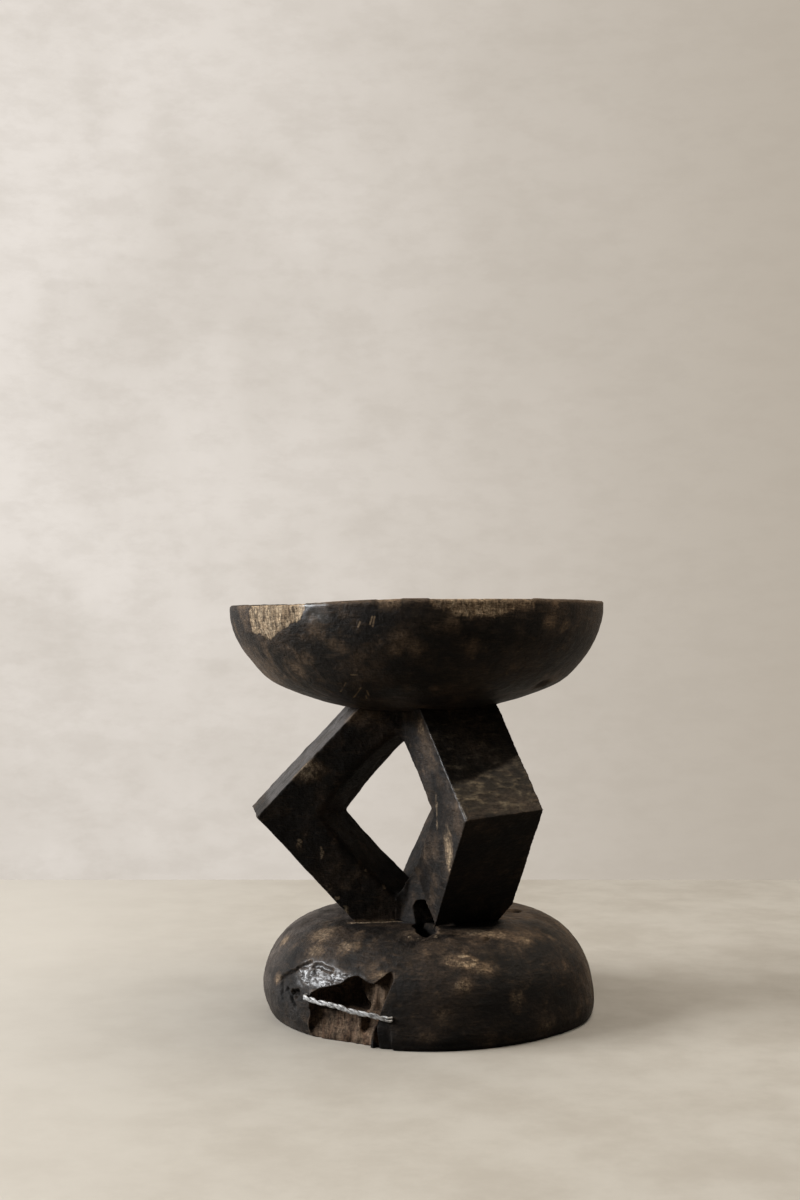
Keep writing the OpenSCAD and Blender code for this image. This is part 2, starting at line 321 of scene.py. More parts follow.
# %% Turn outlines into solids
def make(name, points, faces):
    """New object from points in millimetres, with all its faces turned outwards."""
    mesh = bpy.data.meshes.new(name)
    mesh.from_pydata((np.asarray(points, float) * MM).tolist(), [], faces)
    mesh.update()
    work = bmesh.new()
    work.from_mesh(mesh)
    bmesh.ops.recalc_face_normals(work, faces=work.faces)
    work.to_mesh(mesh)
    work.free()
    piece = bpy.data.objects.new(name, mesh)
    bpy.context.scene.collection.objects.link(piece)
    return piece


def tube_faces(rings, sides):
    """Four-sided faces between rings of points that follow one another."""
    faces = []
    for start in range(0, (rings - 1) * sides, sides):
        for i in range(sides):
            a, b = start + i, start + (i + 1) % sides
            faces.append((a, b, b + sides, a + sides))
    return faces


def turn_on_lathe(name, outline, segments, middle_x=0.0):
    """Revolves an outline of (radius, height) that starts and ends on the axis."""
    rings = np.array(outline[1:-1])
    angles = np.linspace(0, 2 * np.pi, segments, endpoint=False)
    x = rings[:, 0, None] * np.cos(angles) + middle_x
    y = rings[:, 0, None] * np.sin(angles)
    z = np.repeat(rings[:, 1, None], segments, axis=1)
    points = np.stack([x, y, z], axis=-1).reshape(-1, 3)
    ends = [(middle_x, 0, outline[0][1]), (middle_x, 0, outline[-1][1])]
    first, last = len(points), len(points) + 1
    faces = tube_faces(len(rings), segments)
    top = (len(rings) - 1) * segments
    for i in range(segments):
        j = (i + 1) % segments
        faces += [(first, j, i), (last, top + i, top + j)]
    return make(name, np.vstack([points, ends]), faces)


def prism(name, front, back, place):
    """Solid between two outlines with as many points. place turns (x, y, depth) into the room."""
    count = len(front)
    faces = [tuple(range(count))[::-1], tuple(range(count, 2 * count))] + tube_faces(2, count)
    return make(name, [place(*corner) for corner in front + back], faces)


def arc(centre, radius, start, end, steps=24):
    """Points on a circle, with angles in degrees."""
    angles = np.radians(np.linspace(start, end, steps))
    return [(centre[0] + radius * np.cos(a), centre[1] + radius * np.sin(a)) for a in angles]


def even(outline, spacing):
    """The same line with points at even distances."""
    line = np.array(outline, float)
    steps = np.hypot(*np.diff(line, axis=0).T)
    line = line[np.concatenate([[True], steps > 1e-6])]
    length = np.concatenate([[0], np.cumsum(np.hypot(*np.diff(line, axis=0).T))])
    marks = np.linspace(0, length[-1], max(3, int(round(length[-1] / spacing)) + 1))
    return np.stack([np.interp(marks, length, line[:, k]) for k in (0, 1)], axis=1)


# %% Cut, skin and soften
def settle(piece):
    """Makes the result of a piece's modifiers its own mesh."""
    graph = bpy.context.evaluated_depsgraph_get()
    done = bpy.data.meshes.new_from_object(piece.evaluated_get(graph))
    piece.modifiers.clear()
    worn_out = piece.data
    piece.data = done
    bpy.data.meshes.remove(worn_out)


def combine(piece, tool, how="DIFFERENCE"):
    """Cuts a tool out of a piece, or keeps only what lies in both."""
    step = piece.modifiers.new("combine", "BOOLEAN")
    step.operation = how
    step.solver = "EXACT"
    step.object = tool
    settle(piece)
    bpy.data.objects.remove(tool)


def lay_skin(piece, size, passes):
    """Even skin of square faces, softened a little so that no edge stays razor sharp."""
    step = piece.modifiers.new("skin", "REMESH")
    step.mode = "VOXEL"
    step.voxel_size = size * coarse * MM
    if passes:
        soft = piece.modifiers.new("soften", "SMOOTH")
        soft.factor = 0.5
        soft.iterations = max(1, int(round(passes / coarse)))
    settle(piece)
    print(piece.name, "skin:", len(piece.data.vertices), "points")


def points_of(piece):
    co = np.zeros(len(piece.data.vertices) * 3, np.float32)
    piece.data.vertices.foreach_get("co", co)
    return co.reshape(-1, 3).astype(float) / MM


def normals_of(piece):
    flat = np.zeros(len(piece.data.vertices) * 3, np.float32)
    piece.data.vertex_normals.foreach_get("vector", flat)
    return flat.reshape(-1, 3).astype(float)


def set_points(piece, points):
    piece.data.vertices.foreach_set("co", (points * MM).astype(np.float32).ravel())
    piece.data.update()


def push(piece, amount):
    """Moves each point along its normal by an amount in millimetres."""
    set_points(piece, points_of(piece) + normals_of(piece) * amount[:, None])


def thin_out(piece, most):
    """Keeps the triangle count under a limit, and the detail where the surface bends."""
    triangles = sum(len(p.vertices) - 2 for p in piece.data.polygons)
    if triangles > most:
        step = piece.modifiers.new("thin", "DECIMATE")
        step.ratio = most / triangles
        settle(piece)
    print(piece.name, "triangles:", sum(len(p.vertices) - 2 for p in piece.data.polygons))


# %% [markdown]
# Wood and blade marks aren't regular, so the marks need noise. Blender has noise for single
# points. A small version on whole arrays is much faster for a skin of a hundred thousand points,
# and it gives the same result each time, because it has no random state.


# %% Noise for a whole skin at once
def lattice(cell, seed):
    """A repeatable number from 0 to 1 for each whole-numbered cell."""
    c = cell.astype(np.int64)
    mixed = c[..., 0] * 73856093 ^ c[..., 1] * 19349663 ^ c[..., 2] * 83492791 ^ (seed * 2654435761)
    mixed = (mixed ^ (mixed >> 13)) * 1274126177
    mixed = mixed ^ (mixed >> 16)
    return (mixed & 0xFFFFFF) / float(0xFFFFFF)


def noise(points, size, seed, layers=1):
    """Smooth noise from -1 to 1. size is how far apart its bumps lie, in millimetres."""
    total = np.zeros(len(points))
    weight = 1.0
    reach = np.ones(3) * size
    whole = 0.0
    for layer in range(layers):
        scaled = points / reach + 17.3 * (layer + 1)
        cell = np.floor(scaled)
        part = scaled - cell
        part = part * part * (3 - 2 * part)
        value = np.zeros(len(points))
        for corner in np.ndindex(2, 2, 2):
            share = np.prod(np.where(np.array(corner), part, 1 - part), axis=1)
            value += share * lattice(cell + np.array(corner), seed + layer)
        total += weight * (2 * value - 1)
        whole += weight
        weight *= 0.5
        reach = reach / 2
    return total / whole


def scoops(points, size, seed):
    """Shallow cuts side by side: 0 in the middle of each cut and about 1 on the ridges between."""
    reach = np.ones(3) * size
    scaled = points / reach
    cell = np.floor(scaled)
    nearest = np.full(len(points), 9.0)
    for corner in np.ndindex(3, 3, 3):
        other = cell + np.array(corner) - 1
        spot = other + np.stack([lattice(other, seed + k) for k in (0, 11, 23)], axis=1)
        nearest = np.minimum(nearest, ((scaled - spot) ** 2).sum(axis=1))
    return np.minimum(nearest, 1.0)


def ramp(value, low, high):
    """0 below low, 1 above high and smooth between."""
    part = np.clip((value - low) / (high - low), 0, 1)
    return part * part * (3 - 2 * part)


def fall(value, low, high):
    """1 below low, 0 above high and smooth between."""
    return ramp(-value, -high, -low)


# %% Masks for places and patches
def strongest(*masks):
    return np.clip(np.maximum.reduce([np.asarray(m) for m in masks]), 0, 1)


def spot(points, middle, reach, rough=0.25, seed=1, soft=0.35):
    """1 inside a patch with a torn edge and 0 outside. reach is its half size along x, y and z."""
    offset = (points - np.array(middle)) / np.array(reach)
    far = np.sqrt((offset ** 2).sum(axis=1))
    torn = far + rough * noise(points, np.mean(reach) * 0.6, seed, 3)
    return 1 - ramp(torn, 1 - soft, 1 + soft)


def spots(points, places, rough, seed, soft=0.35, seed_step=1):
    """Several patches in one mask, each given as (middle, reach)."""
    return strongest(*[spot(points, middle, reach, rough, seed + seed_step * i, soft)
                       for i, (middle, reach) in enumerate(places)])


def line_distance(points, path):
    """Distance from each point to a path through the given places."""
    nearest = np.full(len(points), 1e9)
    for start, end in zip(path[:-1], path[1:]):
        a, b = np.array(start, float), np.array(end, float)
        along = np.clip(((points - a) @ (b - a)) / ((b - a) @ (b - a)), 0, 1)
        nearest = np.minimum(nearest, np.linalg.norm(points - a - along[:, None] * (b - a), axis=1))
    return nearest


def azimuth_of(points, middle_x=0.0):
    """Direction of each point from the axis in degrees: 0 is the viewer, positive is right."""
    return np.degrees(np.arctan2(points[:, 0] - middle_x, -points[:, 1]))


def on_round(azimuth, radius, z, middle_x=0.0):
    """Place on a round form, from its azimuth in degrees, its radius and its height."""
    a = math.radians(azimuth)
    return (middle_x + radius * math.sin(a), -radius * math.cos(a), z)


# %% [markdown]
# ## The seat
# The seat is a thick shallow bowl. Its underside is one long arc that turns up into a tighter
# one at the side. It could be sculpted from a ball, but a turned outline keeps the measured
# sizes, and the carver's unevenness then goes on top of it.

# %% Turn the seat
side_curve_r = 82.0
rim_band = 3.0
rim_w = 11.0
dish_depth = 45.0
rim_round = 2.6
rim_inner_round = 4.5

side_x = seat_r - side_curve_r
side_z = rim_z - rim_band
curve_h = side_z - underside_z
under_r = (curve_h ** 2 + side_x ** 2 - side_curve_r ** 2) / (2 * (curve_h - side_curve_r))
under_z = underside_z + under_r
turn_angle = math.degrees(math.atan2(side_z - under_z, side_x))
dish_r = seat_r - rim_w
dish_ball_r = (dish_r ** 2 + dish_depth ** 2) / (2 * dish_depth)
dish_ball_z = rim_z - dish_depth + dish_ball_r
dish_angle = math.degrees(math.atan2(rim_z - dish_ball_z, dish_r))

seat_outline = arc((0, under_z), under_r, -90, turn_angle, 60)
seat_outline += arc((side_x, side_z), side_curve_r, turn_angle, 0, 60)
seat_outline += arc((seat_r - rim_round, rim_z - rim_round), rim_round, 0, 90, 8)
seat_outline += [(dish_r + rim_inner_round, rim_z)]
seat_outline += arc((0, dish_ball_z), dish_ball_r, dish_angle - 0.9, -90, 60)
seat_outline[0] = (0, underside_z)
seat_outline[-1] = (0, rim_z - dish_depth)
seat_spacing = 2.1 * coarse
seat_segments = int(2 * math.pi * seat_r / seat_spacing)
seat = turn_on_lathe("carved_seat", even(seat_outline, seat_spacing), seat_segments)
print("seat points", len(seat.data.vertices))


# %% Mark the places that the shader needs to know
def store(piece, **marks):
    """Keeps numbers for each point, under names that a material can read."""
    for name, values in marks.items():
        layer = piece.data.attributes.get(name) or piece.data.attributes.new(name, "FLOAT", "POINT")
        layer.data.foreach_set("value", np.asarray(values, np.float32))


def neighbours(piece):
    """The ends of each edge, and how many neighbours each point has."""
    ends = np.zeros(len(piece.data.edges) * 2, np.int64)
    piece.data.edges.foreach_get("vertices", ends)
    ends = ends.reshape(-1, 2)
    return ends, np.maximum(np.bincount(ends.ravel(), minlength=len(piece.data.vertices)), 1)


def neighbour_mean(values, ends, count):
    total = np.bincount(ends[:, 0], values[ends[:, 1]], len(values))
    total += np.bincount(ends[:, 1], values[ends[:, 0]], len(values))
    return total / count


def edge_wear(piece, rounds=2):
    """High on sharp outer edges, and 0 or less on flat or hollow places."""
    ends, count = neighbours(piece)
    p = points_of(piece)
    middle = np.stack([neighbour_mean(p[:, k], ends, count) for k in range(3)], axis=1)
    bend = ((p - middle) * normals_of(piece)).sum(axis=1)
    for step in range(rounds):
        bend = 0.4 * bend + 0.6 * neighbour_mean(bend, ends, count)
    return bend


def soften(piece, share, rounds):
    """Draws points towards their neighbours, by a share that can differ from place to place."""
    ends, count = neighbours(piece)
    p = points_of(piece)
    for step in range(max(1, int(round(rounds / coarse)))):
        for k in range(3):
            p[:, k] += share * (neighbour_mean(p[:, k], ends, count) - p[:, k])
    set_points(piece, p)


# %% [markdown]
# The carver left the rim uneven, and under it the black surface has come off in patches with a
# torn lower edge. They could be painted by hand. Here each edge is a line of measured places that
# noise frays, so that one mask can both sink the patch a little and colour it.

# %% Let the rim wave up and down
p = points_of(seat)
azimuth = azimuth_of(p)
reach_out = np.hypot(p[:, 0], p[:, 1])
rim_wave_azimuth = [-180, -140, -100, -75, -55, -30, -5, 35, 60, 90, 130, 180]
rim_wave_drop = [3.6, 5.0, 6.2, 6.6, 6.0, 3.6, 0.3, 0.0, 1.4, 2.8, 3.0, 3.6]
rim_drop = np.interp(azimuth, rim_wave_azimuth, rim_wave_drop)
dish_floor_z = rim_z - dish_depth
in_dish = fall(reach_out, dish_r - 5, dish_r - 1) * ramp(p[:, 2], dish_floor_z - 3, dish_floor_z)
outside = 1 - in_dish
z = p[:, 2].copy()
p[:, 2] -= rim_drop * ramp(z, rim_z - 60, rim_z) * ramp(reach_out, 60, dish_r)
set_points(seat, p)
print("the rim is lowered by up to", max(rim_wave_drop), "mm")


# %% Draw the bare patches under the rim
def under_line(line, seed, fray=4.0):
    """1 above a jagged lower edge, given as (azimuth, height) points, and 0 below and beside it."""
    line = np.array(line, float)
    along = np.radians(azimuth) * seat_r
    strands = np.stack([along, np.zeros_like(z), z / 8], axis=1)
    torn = fray * noise(strands, 3.0, seed, 2) + 0.6 * fray * noise(strands, 9, seed + 5)
    edge = np.interp(azimuth + 0.25 * torn, line[:, 0], line[:, 1], left=400, right=400)
    return ramp(z - edge + torn, -1.2, 2.2)


left_patch = under_line([(-58.6, 376), (-59.1, 347), (-57, 345), (-53.2, 345), (-51.2, 339), (-49.6, 339),
                         (-47, 343), (-42.7, 348.5), (-39.3, 355), (-35.4, 357), (-33.8, 366),
                         (-33.2, 376)], 31)
small_patch = under_line([(-12, 378), (-11.7, 367), (-8.3, 363.5), (-4.3, 365), (-4, 378)], 41, 2.5)
big_patch = under_line([(2.6, 378), (4, 369), (6, 363.5), (10.3, 359), (16, 356.5), (23.6, 356.5),
                        (26.6, 361), (30, 363.5), (35, 364), (36.2, 378)], 43)
left_share = 0.66 + 0.34 * ramp(azimuth, -47, -38) - 0.22 * ramp(noise(p, 8, 46, 2), 0, 0.5)
big_share = 0.32 + 0.25 * ramp(azimuth, 2, 12) * fall(azimuth, 20, 30)
rim_patches = strongest(left_patch, big_patch, 0.6 * small_patch) * outside
print("bare patches cover", round(float(rim_patches.mean()) * 100, 1), "% of the seat's points")

# %% Carve the seat
cross_cuts = scoops(p * [1, 1, 0.55], 4.2, 45)
fibres = noise(p * [1, 1, 0.12], 2.6, 14, 2)
wet = fall(np.abs(azimuth + 30.5), 2.5, 6) * ramp(z, 353, 359)
knot_dent = spot(p, (109, -70, 299), (9, 9, 4.5), rough=0.4, seed=55, soft=0.5) * outside
carved = 0.45 * scoops(p, 15, 3) * outside + 0.6 * noise(p, 60, 5, 2)
carved += (0.22 * noise(p * [1, 1, 2.5], 9, 8, 2) + 0.12 * noise(p * [1, 1, 1.6], 4.5, 9)) * outside
nibbled = ramp(z, rim_z - 7, rim_z - 1) * ramp(reach_out, dish_r - 4, dish_r + 3)
carved -= 0.55 + 0.9 * nibbled * ramp(noise(p, 8, 12, 2), 0.05, 0.7)
kept_rim = 1 - ramp(z, rim_z - 9, rim_z - 3) * fall(np.abs(azimuth - 5), 25, 45)
fuller = 2.2 * fall(z, 298, 318) * outside
carved = carved * kept_rim + rim_patches * (-0.9 + 0.3 * fibres + 0.35 * cross_cuts) + fuller
push(seat, carved + 0.9 * wet * outside * (scoops(p, 5, 47) - 0.5) - 1.4 * knot_dent)
print("the bowl is fuller by up to", round(float(fuller.max()), 1), "mm")

# %% Say where the seat is bare, brown or dusty, and where sheen is painted
side_heights = [290, 310, 330, 350, 372]
side_reaches = [110, 144, 160, 167.5, 170]


def spots_on_seat(places, seed):
    """Patches on the seat's side, each given as (azimuth, height, size)."""
    return spots(p, [(on_round(a, float(np.interp(h, side_heights, side_reaches)), h), (r, r, r))
                     for a, h, r in places], 0.5, seed, 0.6)


brown_spots = spots_on_seat([(9.5, 349.3, 7), (41.4, 352.8, 7), (48.5, 349.2, 5), (-0.3, 331.2, 7),
                             (16.1, 331.9, 6), (-6.7, 330.4, 6), (-4.5, 340.3, 8), (6.4, 300.2, 4),
                             (42.8, 370.5, 5), (-8, 371, 7)], 51)
tan_spots = spots_on_seat([(-23, 331.7, 6), (-25.6, 334.9, 6), (-30, 345, 7), (-37, 322, 7),
                           (-44, 312, 9)], 61)
fresh = spot(p, (112, -66, 304), (24, 18, 10), rough=0.6, seed=56, soft=0.7) * outside
# The left side faces the window, and its paler brown and grey are a painted sheen. The right side gets a
# little of both as painted light from the right, over some brown wood.
right_side = ramp(azimuth, 52, 78) * ramp(z, 285, 305) * fall(azimuth, 110, 150) * outside
left_side = fall(azimuth, -80, -50) * fall(z, 300, 345) * ramp(azimuth, -150, -110) * outside
mottled = ramp(noise(p * [1, 1, 1.4], 15, 57, 3), 0.05, 0.5) * ramp(z, 292, 305) * outside
mottled *= 0.3 + 0.7 * fall(azimuth, -40, -5) * ramp(azimuth, -170, -120)
fan = ramp(noise(np.stack([azimuth * 0.9, z * 0.12, 0 * z], axis=1), 2.0, 58, 2), 0.05, 0.6)
fan *= fall(azimuth, -44, -26) * ramp(azimuth, -88, -68) * fall(z, 322, 346) * outside
store(seat,
      bare=strongest(left_patch * left_share * outside, big_patch * big_share * outside,
                     0.3 * small_patch * outside),
      brown=strongest(0.9 * fan, brown_spots, 0.7 * tan_spots, 0.3 * right_side, left_side, small_patch,
                      0.9 * big_patch, 0.6 * mottled, fresh),
      gloss=strongest(wet, 0.2 * in_dish),
      # The grey in the wet place under the rim is a painted highlight.
      dust=strongest(0.1 * right_side, 0.8 * left_side, 0.8 * fresh, 0.9 * wet * ramp(cross_cuts, 0.2, 0.7)),
      soot=strongest(0.5 * left_patch * ramp(cross_cuts, 0.45, 0.8) * fall(azimuth, -46, -40),
                     0.7 * knot_dent),
      worn=ramp(edge_wear(seat), 0.05, 0.25))
print("seat marked:", len(seat.data.attributes), "attributes")

# %% [markdown]
# ## The three legs
# Each leg is a flat board bent into an elbow, and behind the elbow the wood between two legs was
# cut right through. The three legs are shaped together, so that the carving runs on from one to
# the next. Then two straight cuts part them where the measured solids part.

# %% Saw the legs
leg_names = ["left_leg", "right_leg", "rear_leg"]


def each_leg(*values):
    return dict(zip(leg_names, values))


leg_azimuth = each_leg(-82.0, 25.5, 145.0)
leg_w = each_leg(79.0, 76.0, 74.0)
elbow_r = each_leg(152.0, 139.5, 140.0)
elbow_z = each_leg(180.8, 190.6, 187.0)
leg_top_r = each_leg(67.0, 73.0, 69.0)
ridge_r = each_leg(67.0, 59.0, 66.0)
ridge_z = each_leg(181.0, 186.0, 183.0)
leg_shift = each_leg(0.0, 11.0, 0.0)
leg_tilt = each_leg(0.0, 4.0, 0.0)
leg_middle_x = 4.0
leg_foot_r = 66.0
sunk_in_seat = 22.0
sunk_in_foot = 14.0


def about_z(x, y, angle):
    a = math.radians(angle)
    return x * math.cos(a) - y * math.sin(a), x * math.sin(a) + y * math.cos(a)


def stand(leg):
    """Places a leg's side view in the room: x outwards, y up, depth from the far side."""
    tip = math.radians(90 + leg_tilt[leg])

    def place(x, y, depth):
        y1, z1 = y - elbow_z[leg], depth - leg_w[leg] / 2
        y2 = y1 * math.cos(tip) - z1 * math.sin(tip) + leg_shift[leg]
        z2 = y1 * math.sin(tip) + z1 * math.cos(tip) + elbow_z[leg]
        rx, ry = about_z(x, y2, leg_azimuth[leg] - 90)
        return rx + leg_middle_x, ry, z2

    return place


def leg_outline(leg, depth):
    """Side view of a leg that reaches into the seat above and into the foot below."""
    top, foot = underside_z + sunk_in_seat, foot_z - sunk_in_foot
    top_slope = (elbow_r[leg] - leg_top_r[leg]) / (underside_z - elbow_z[leg])
    foot_slope = (elbow_r[leg] - leg_foot_r) / (elbow_z[leg] - foot_z)
    side = [(elbow_r[leg] - foot_slope * (elbow_z[leg] - foot), foot), (elbow_r[leg], elbow_z[leg]),
            (elbow_r[leg] - top_slope * (top - elbow_z[leg]), top), (-leg_foot_r / 2, top),
            (-leg_foot_r / 2, foot)]
    return [(x, y, depth) for x, y in side]


boards = []
for leg in leg_names:
    boards.append(prism("board", leg_outline(leg, 0), leg_outline(leg, leg_w[leg]), stand(leg)))
legs = boards[0]
for board in boards[1:]:
    combine(legs, board, "UNION")

# %% Cut the three openings through the middle
gap_top_z = underside_z - 9
gap_foot_z = foot_z + 22
front_gap_top_z = gap_top_z - 10
bow_upper = 4.5
bow_lower = 2.5
bow_inwards = 1
# The legs on both sides of each opening, and the turn to add where the azimuths start again.
gaps = [("left_leg", "right_leg", 0), ("right_leg", "rear_leg", 0), ("rear_leg", "left_leg", 360)]
far_out = 300.0
middle_slip = 0.5


def bowed(start, end, bow):
    """Three points between two corners, bulging to the left of the way from start to end."""
    a, b = np.array(start, float), np.array(end, float)
    side = np.array([-(b - a)[1], (b - a)[0]]) / np.hypot(*(b - a))
    return [tuple(a + (b - a) * t + side * bow * 4 * t * (1 - t)) for t in (0.25, 0.5, 0.75)]


for first, second, turn in gaps:
    half = (leg_azimuth[second] + turn - leg_azimuth[first]) / 2
    middle_azimuth = leg_azimuth[first] + half
    spread = math.sin(math.radians(half))
    low, high = (0, gap_foot_z), (0, front_gap_top_z if first == "left_leg" else gap_top_z)
    right, left = (ridge_r[second] * spread, ridge_z[second]), (-ridge_r[first] * spread, ridge_z[first])
    section = [low, right, high] + bowed(high, left, -bow_upper) + [left] + bowed(left, low, -bow_lower)
    if first != "left_leg":
        section = [low] + bowed(low, right, -bow_inwards) + [right] + bowed(right, high, -bow_inwards)
        section += [high, left]

    def place_gap(across, up, out, angle=middle_azimuth - 90):
        rx, ry = about_z(out, across, angle)
        return rx + leg_middle_x, ry, up

    near = [(x, y, -middle_slip) for x, y in section]
    far = [(x, y, far_out) for x, y in section]
    combine(legs, prism("opening", near, far, place_gap))
print("legs sawn:", len(legs.data.vertices), "points")

# %% Fill the corner between the left and the right leg
wedge_foot_z = foot_z - 5
wedge_corners = [(-17.8, -41.6, wedge_foot_z), (16.8, -73.0, wedge_foot_z), (12.0, -30.0, wedge_foot_z),
                 (-2.1, -40.0, 137.0)]
combine(legs, make("wedge", wedge_corners, [(0, 1, 3), (1, 2, 3), (2, 0, 3), (0, 2, 1)]), "UNION")
print("wedge from", wedge_corners[0], "to", wedge_corners[1])

# %% Take off the corners of the right leg's foot
place_right = stand("right_leg")
chamfer = 14.0
chamfer_spare = 2
notch_deep = 20.0
notch_proud = 18.0
notch_side = [(-18, -10), (-18, 2), (-25, 16), (-23, 21.5), (-14.5, 22.5), (-6, 13), (0.2, 4.5), (0.4, 1.5),
              (-2.5, -10)]
near_face = leg_w["right_leg"]


def above_foot(along, up, depth):
    return place_right(along, foot_z + up, depth)


chamfer_side = [(-chamfer - 8, -chamfer_spare), (chamfer, -chamfer_spare), (-chamfer - 8, chamfer + 10)]
front, back = [[(x, up, depth) for up, depth in chamfer_side] for x in (-far_out, far_out)]
combine(legs, prism("chamfer", front, back, above_foot))
front, back = [[(leg_foot_r + x, up, near_face + depth) for x, up in notch_side]
               for depth in (-notch_deep, notch_proud)]
combine(legs, prism("notch", front, back, above_foot))
print("legs chamfered and notched:", len(legs.data.vertices), "points")

# %% Skin the legs and soften the crease of the front opening
leg_skin, leg_softening, crease_softening = 0.85, 9, 70
lay_skin(legs, leg_skin, leg_softening)
p = points_of(legs)
leg_az = azimuth_of(p, leg_middle_x)
front_angle = (leg_azimuth["left_leg"] + leg_azimuth["right_leg"]) / 2 - 90
half_front = math.radians((leg_azimuth["right_leg"] - leg_azimuth["left_leg"]) / 2)
across_leg = np.array(about_z(0, 1, leg_azimuth["left_leg"] - 90))
way_out = np.array(about_z(1, 0, front_angle))
sideways = np.array(about_z(0, 1, front_angle))
top, bottom = (0, front_gap_top_z), (0, gap_foot_z)
corner = (-ridge_r["left_leg"] * math.sin(half_front), ridge_z["left_leg"])
crease = []
upper_bow, lower_bow = bowed(top, corner, -bow_upper), bowed(corner, bottom, -bow_lower)
for aside, up in [top] + upper_bow + [corner] + lower_bow + [bottom]:
    run = (leg_w["left_leg"] / 2 - aside * (sideways @ across_leg)) / (way_out @ across_leg)
    x, y = run * way_out + aside * sideways
    crease.append((leg_middle_x + x, y, up))
soft_reach, crisp_reach = 7, 15
soften(legs, 0.5 * fall(line_distance(p, crease), soft_reach, crisp_reach), crease_softening)
print("crease of the opening softened along", len(crease), "places")

# %% Carve the legs
parting = dict(left_leg=(-148.5, -28.25), right_leg=(-28.25, 85.25), rear_leg=(85.25, 211.5))


def blade_marks(p):
    """Places bent as the strokes of a blade are, and the strokes on them."""
    bent = p + 3.5 * np.stack([noise(p, 26, seed) for seed in (28, 29, 30)], axis=1)
    return bent, scoops(bent * [0.45, 0.45, 1.3], 5.5, 27)


p = points_of(legs)
cuts = 0.5 * scoops(p, 15, 21) + 0.7 * noise(p, 48, 23, 2) + 0.3 * noise(p, 9, 25, 2)
cuts += 0.12 * noise(p, 3.2, 26)
upper_right = ramp(p[:, 2], 188, 196) * fall(np.abs(leg_az - 25), 30, 40)
cuts += 0.8 * (blade_marks(p)[1] - 0.5) * upper_right
chips = ramp(edge_wear(legs, 1), 0.07, 0.16) * ramp(noise(p, 5, 33, 2), 0.18, 0.6)
push(legs, cuts - 0.6 - 0.9 * chips)
print("legs carved to between", round(float(cuts.min()), 1), "and", round(float(cuts.max()), 1), "mm")

# %% Say where the legs are worn, and paint their sheen and shade
p = points_of(legs)
n = normals_of(legs)
leg_az = azimuth_of(p, leg_middle_x)
on_left = (leg_az < parting["left_leg"][1]) & (leg_az > parting["left_leg"][0])
on_right = (leg_az >= parting["right_leg"][0]) & (leg_az < parting["right_leg"][1])
upper_out = ramp(p[:, 2], 190, 196) * ramp(n[:, 2], 0.35, 0.55)
narrow = on_right | (p[:, 2] < 140) & (leg_az > -55)
narrow = narrow * fall(n[:, 0], -0.7, -0.5) * fall(p[:, 1], -42, -30)
streak = line_distance(p, [(20, -88, 228), (17, -88, 200), (16.4, -88, 176)])
streak = fall(streak + 2.2 * noise(p * [1, 1, 0.4], 5, 75, 2), 0.5, 3.5) * narrow
wide_patch = spot(p, (26.3, -104.5, 160), (9, 8, 17), rough=0.55, seed=76, soft=0.6) * narrow
top_patch = spot(p, (5, -70, 262), (7, 7, 9), rough=0.5, seed=78, soft=0.6) * narrow
elbow_patch = spot(p, (-96.8, -54.1, 221), (15, 6, 9), rough=0.5, seed=71, soft=0.7) * on_left
left_top = spot(p, (-50.2, -47.5, 268), (16, 12, 7), seed=73, soft=0.6)
chip_places = [(-102, -46, 150), (-96, -47, 142), (-84, -48, 128), (-78, -49, 118), (-70, -50, 106),
               (-62, -50, 97), (-103, -55, 157), (-84, -52, 148), (-61, -49, 160), (-45, -47, 138),
               (-45, -47, 130), (-28, -44, 117)]
low_chips = spots(p, [(place, (3, 3, 5)) for place in chip_places], 0.7, 81, 0.5) * on_left
low_chips = low_chips * ramp(noise(p, 2.6, 79, 2), -0.3, 0.3)
seam = fall(p[:, 2], foot_z + 1.0, foot_z + 2.2) * on_left * fall(p[:, 1], -30, -20) * (1 - narrow)
bent, tool_marks = blade_marks(p)
tool_marks = ramp(tool_marks, 0.1, 0.75) * ramp(noise(bent * [0.4, 0.4, 1.4], 2.2, 34, 2), -0.5, 0.35)
edge_low = np.array(place_right(elbow_r["right_leg"], elbow_z["right_leg"], near_face))
edge_high = np.array(place_right(leg_top_r["right_leg"] - 8, underside_z + 8, near_face))
edge_line = fall(line_distance(p, [edge_low, edge_high]) + 0.5 * noise(p, 7, 88), 0.9, 2.4)
near_seam = fall(np.abs(leg_az - parting["left_leg"][1]), 4, 9)
sooty_narrow = narrow * spot(p, (20, -88, 196), (20, 20, 34), rough=0.6, seed=74, soft=0.7)
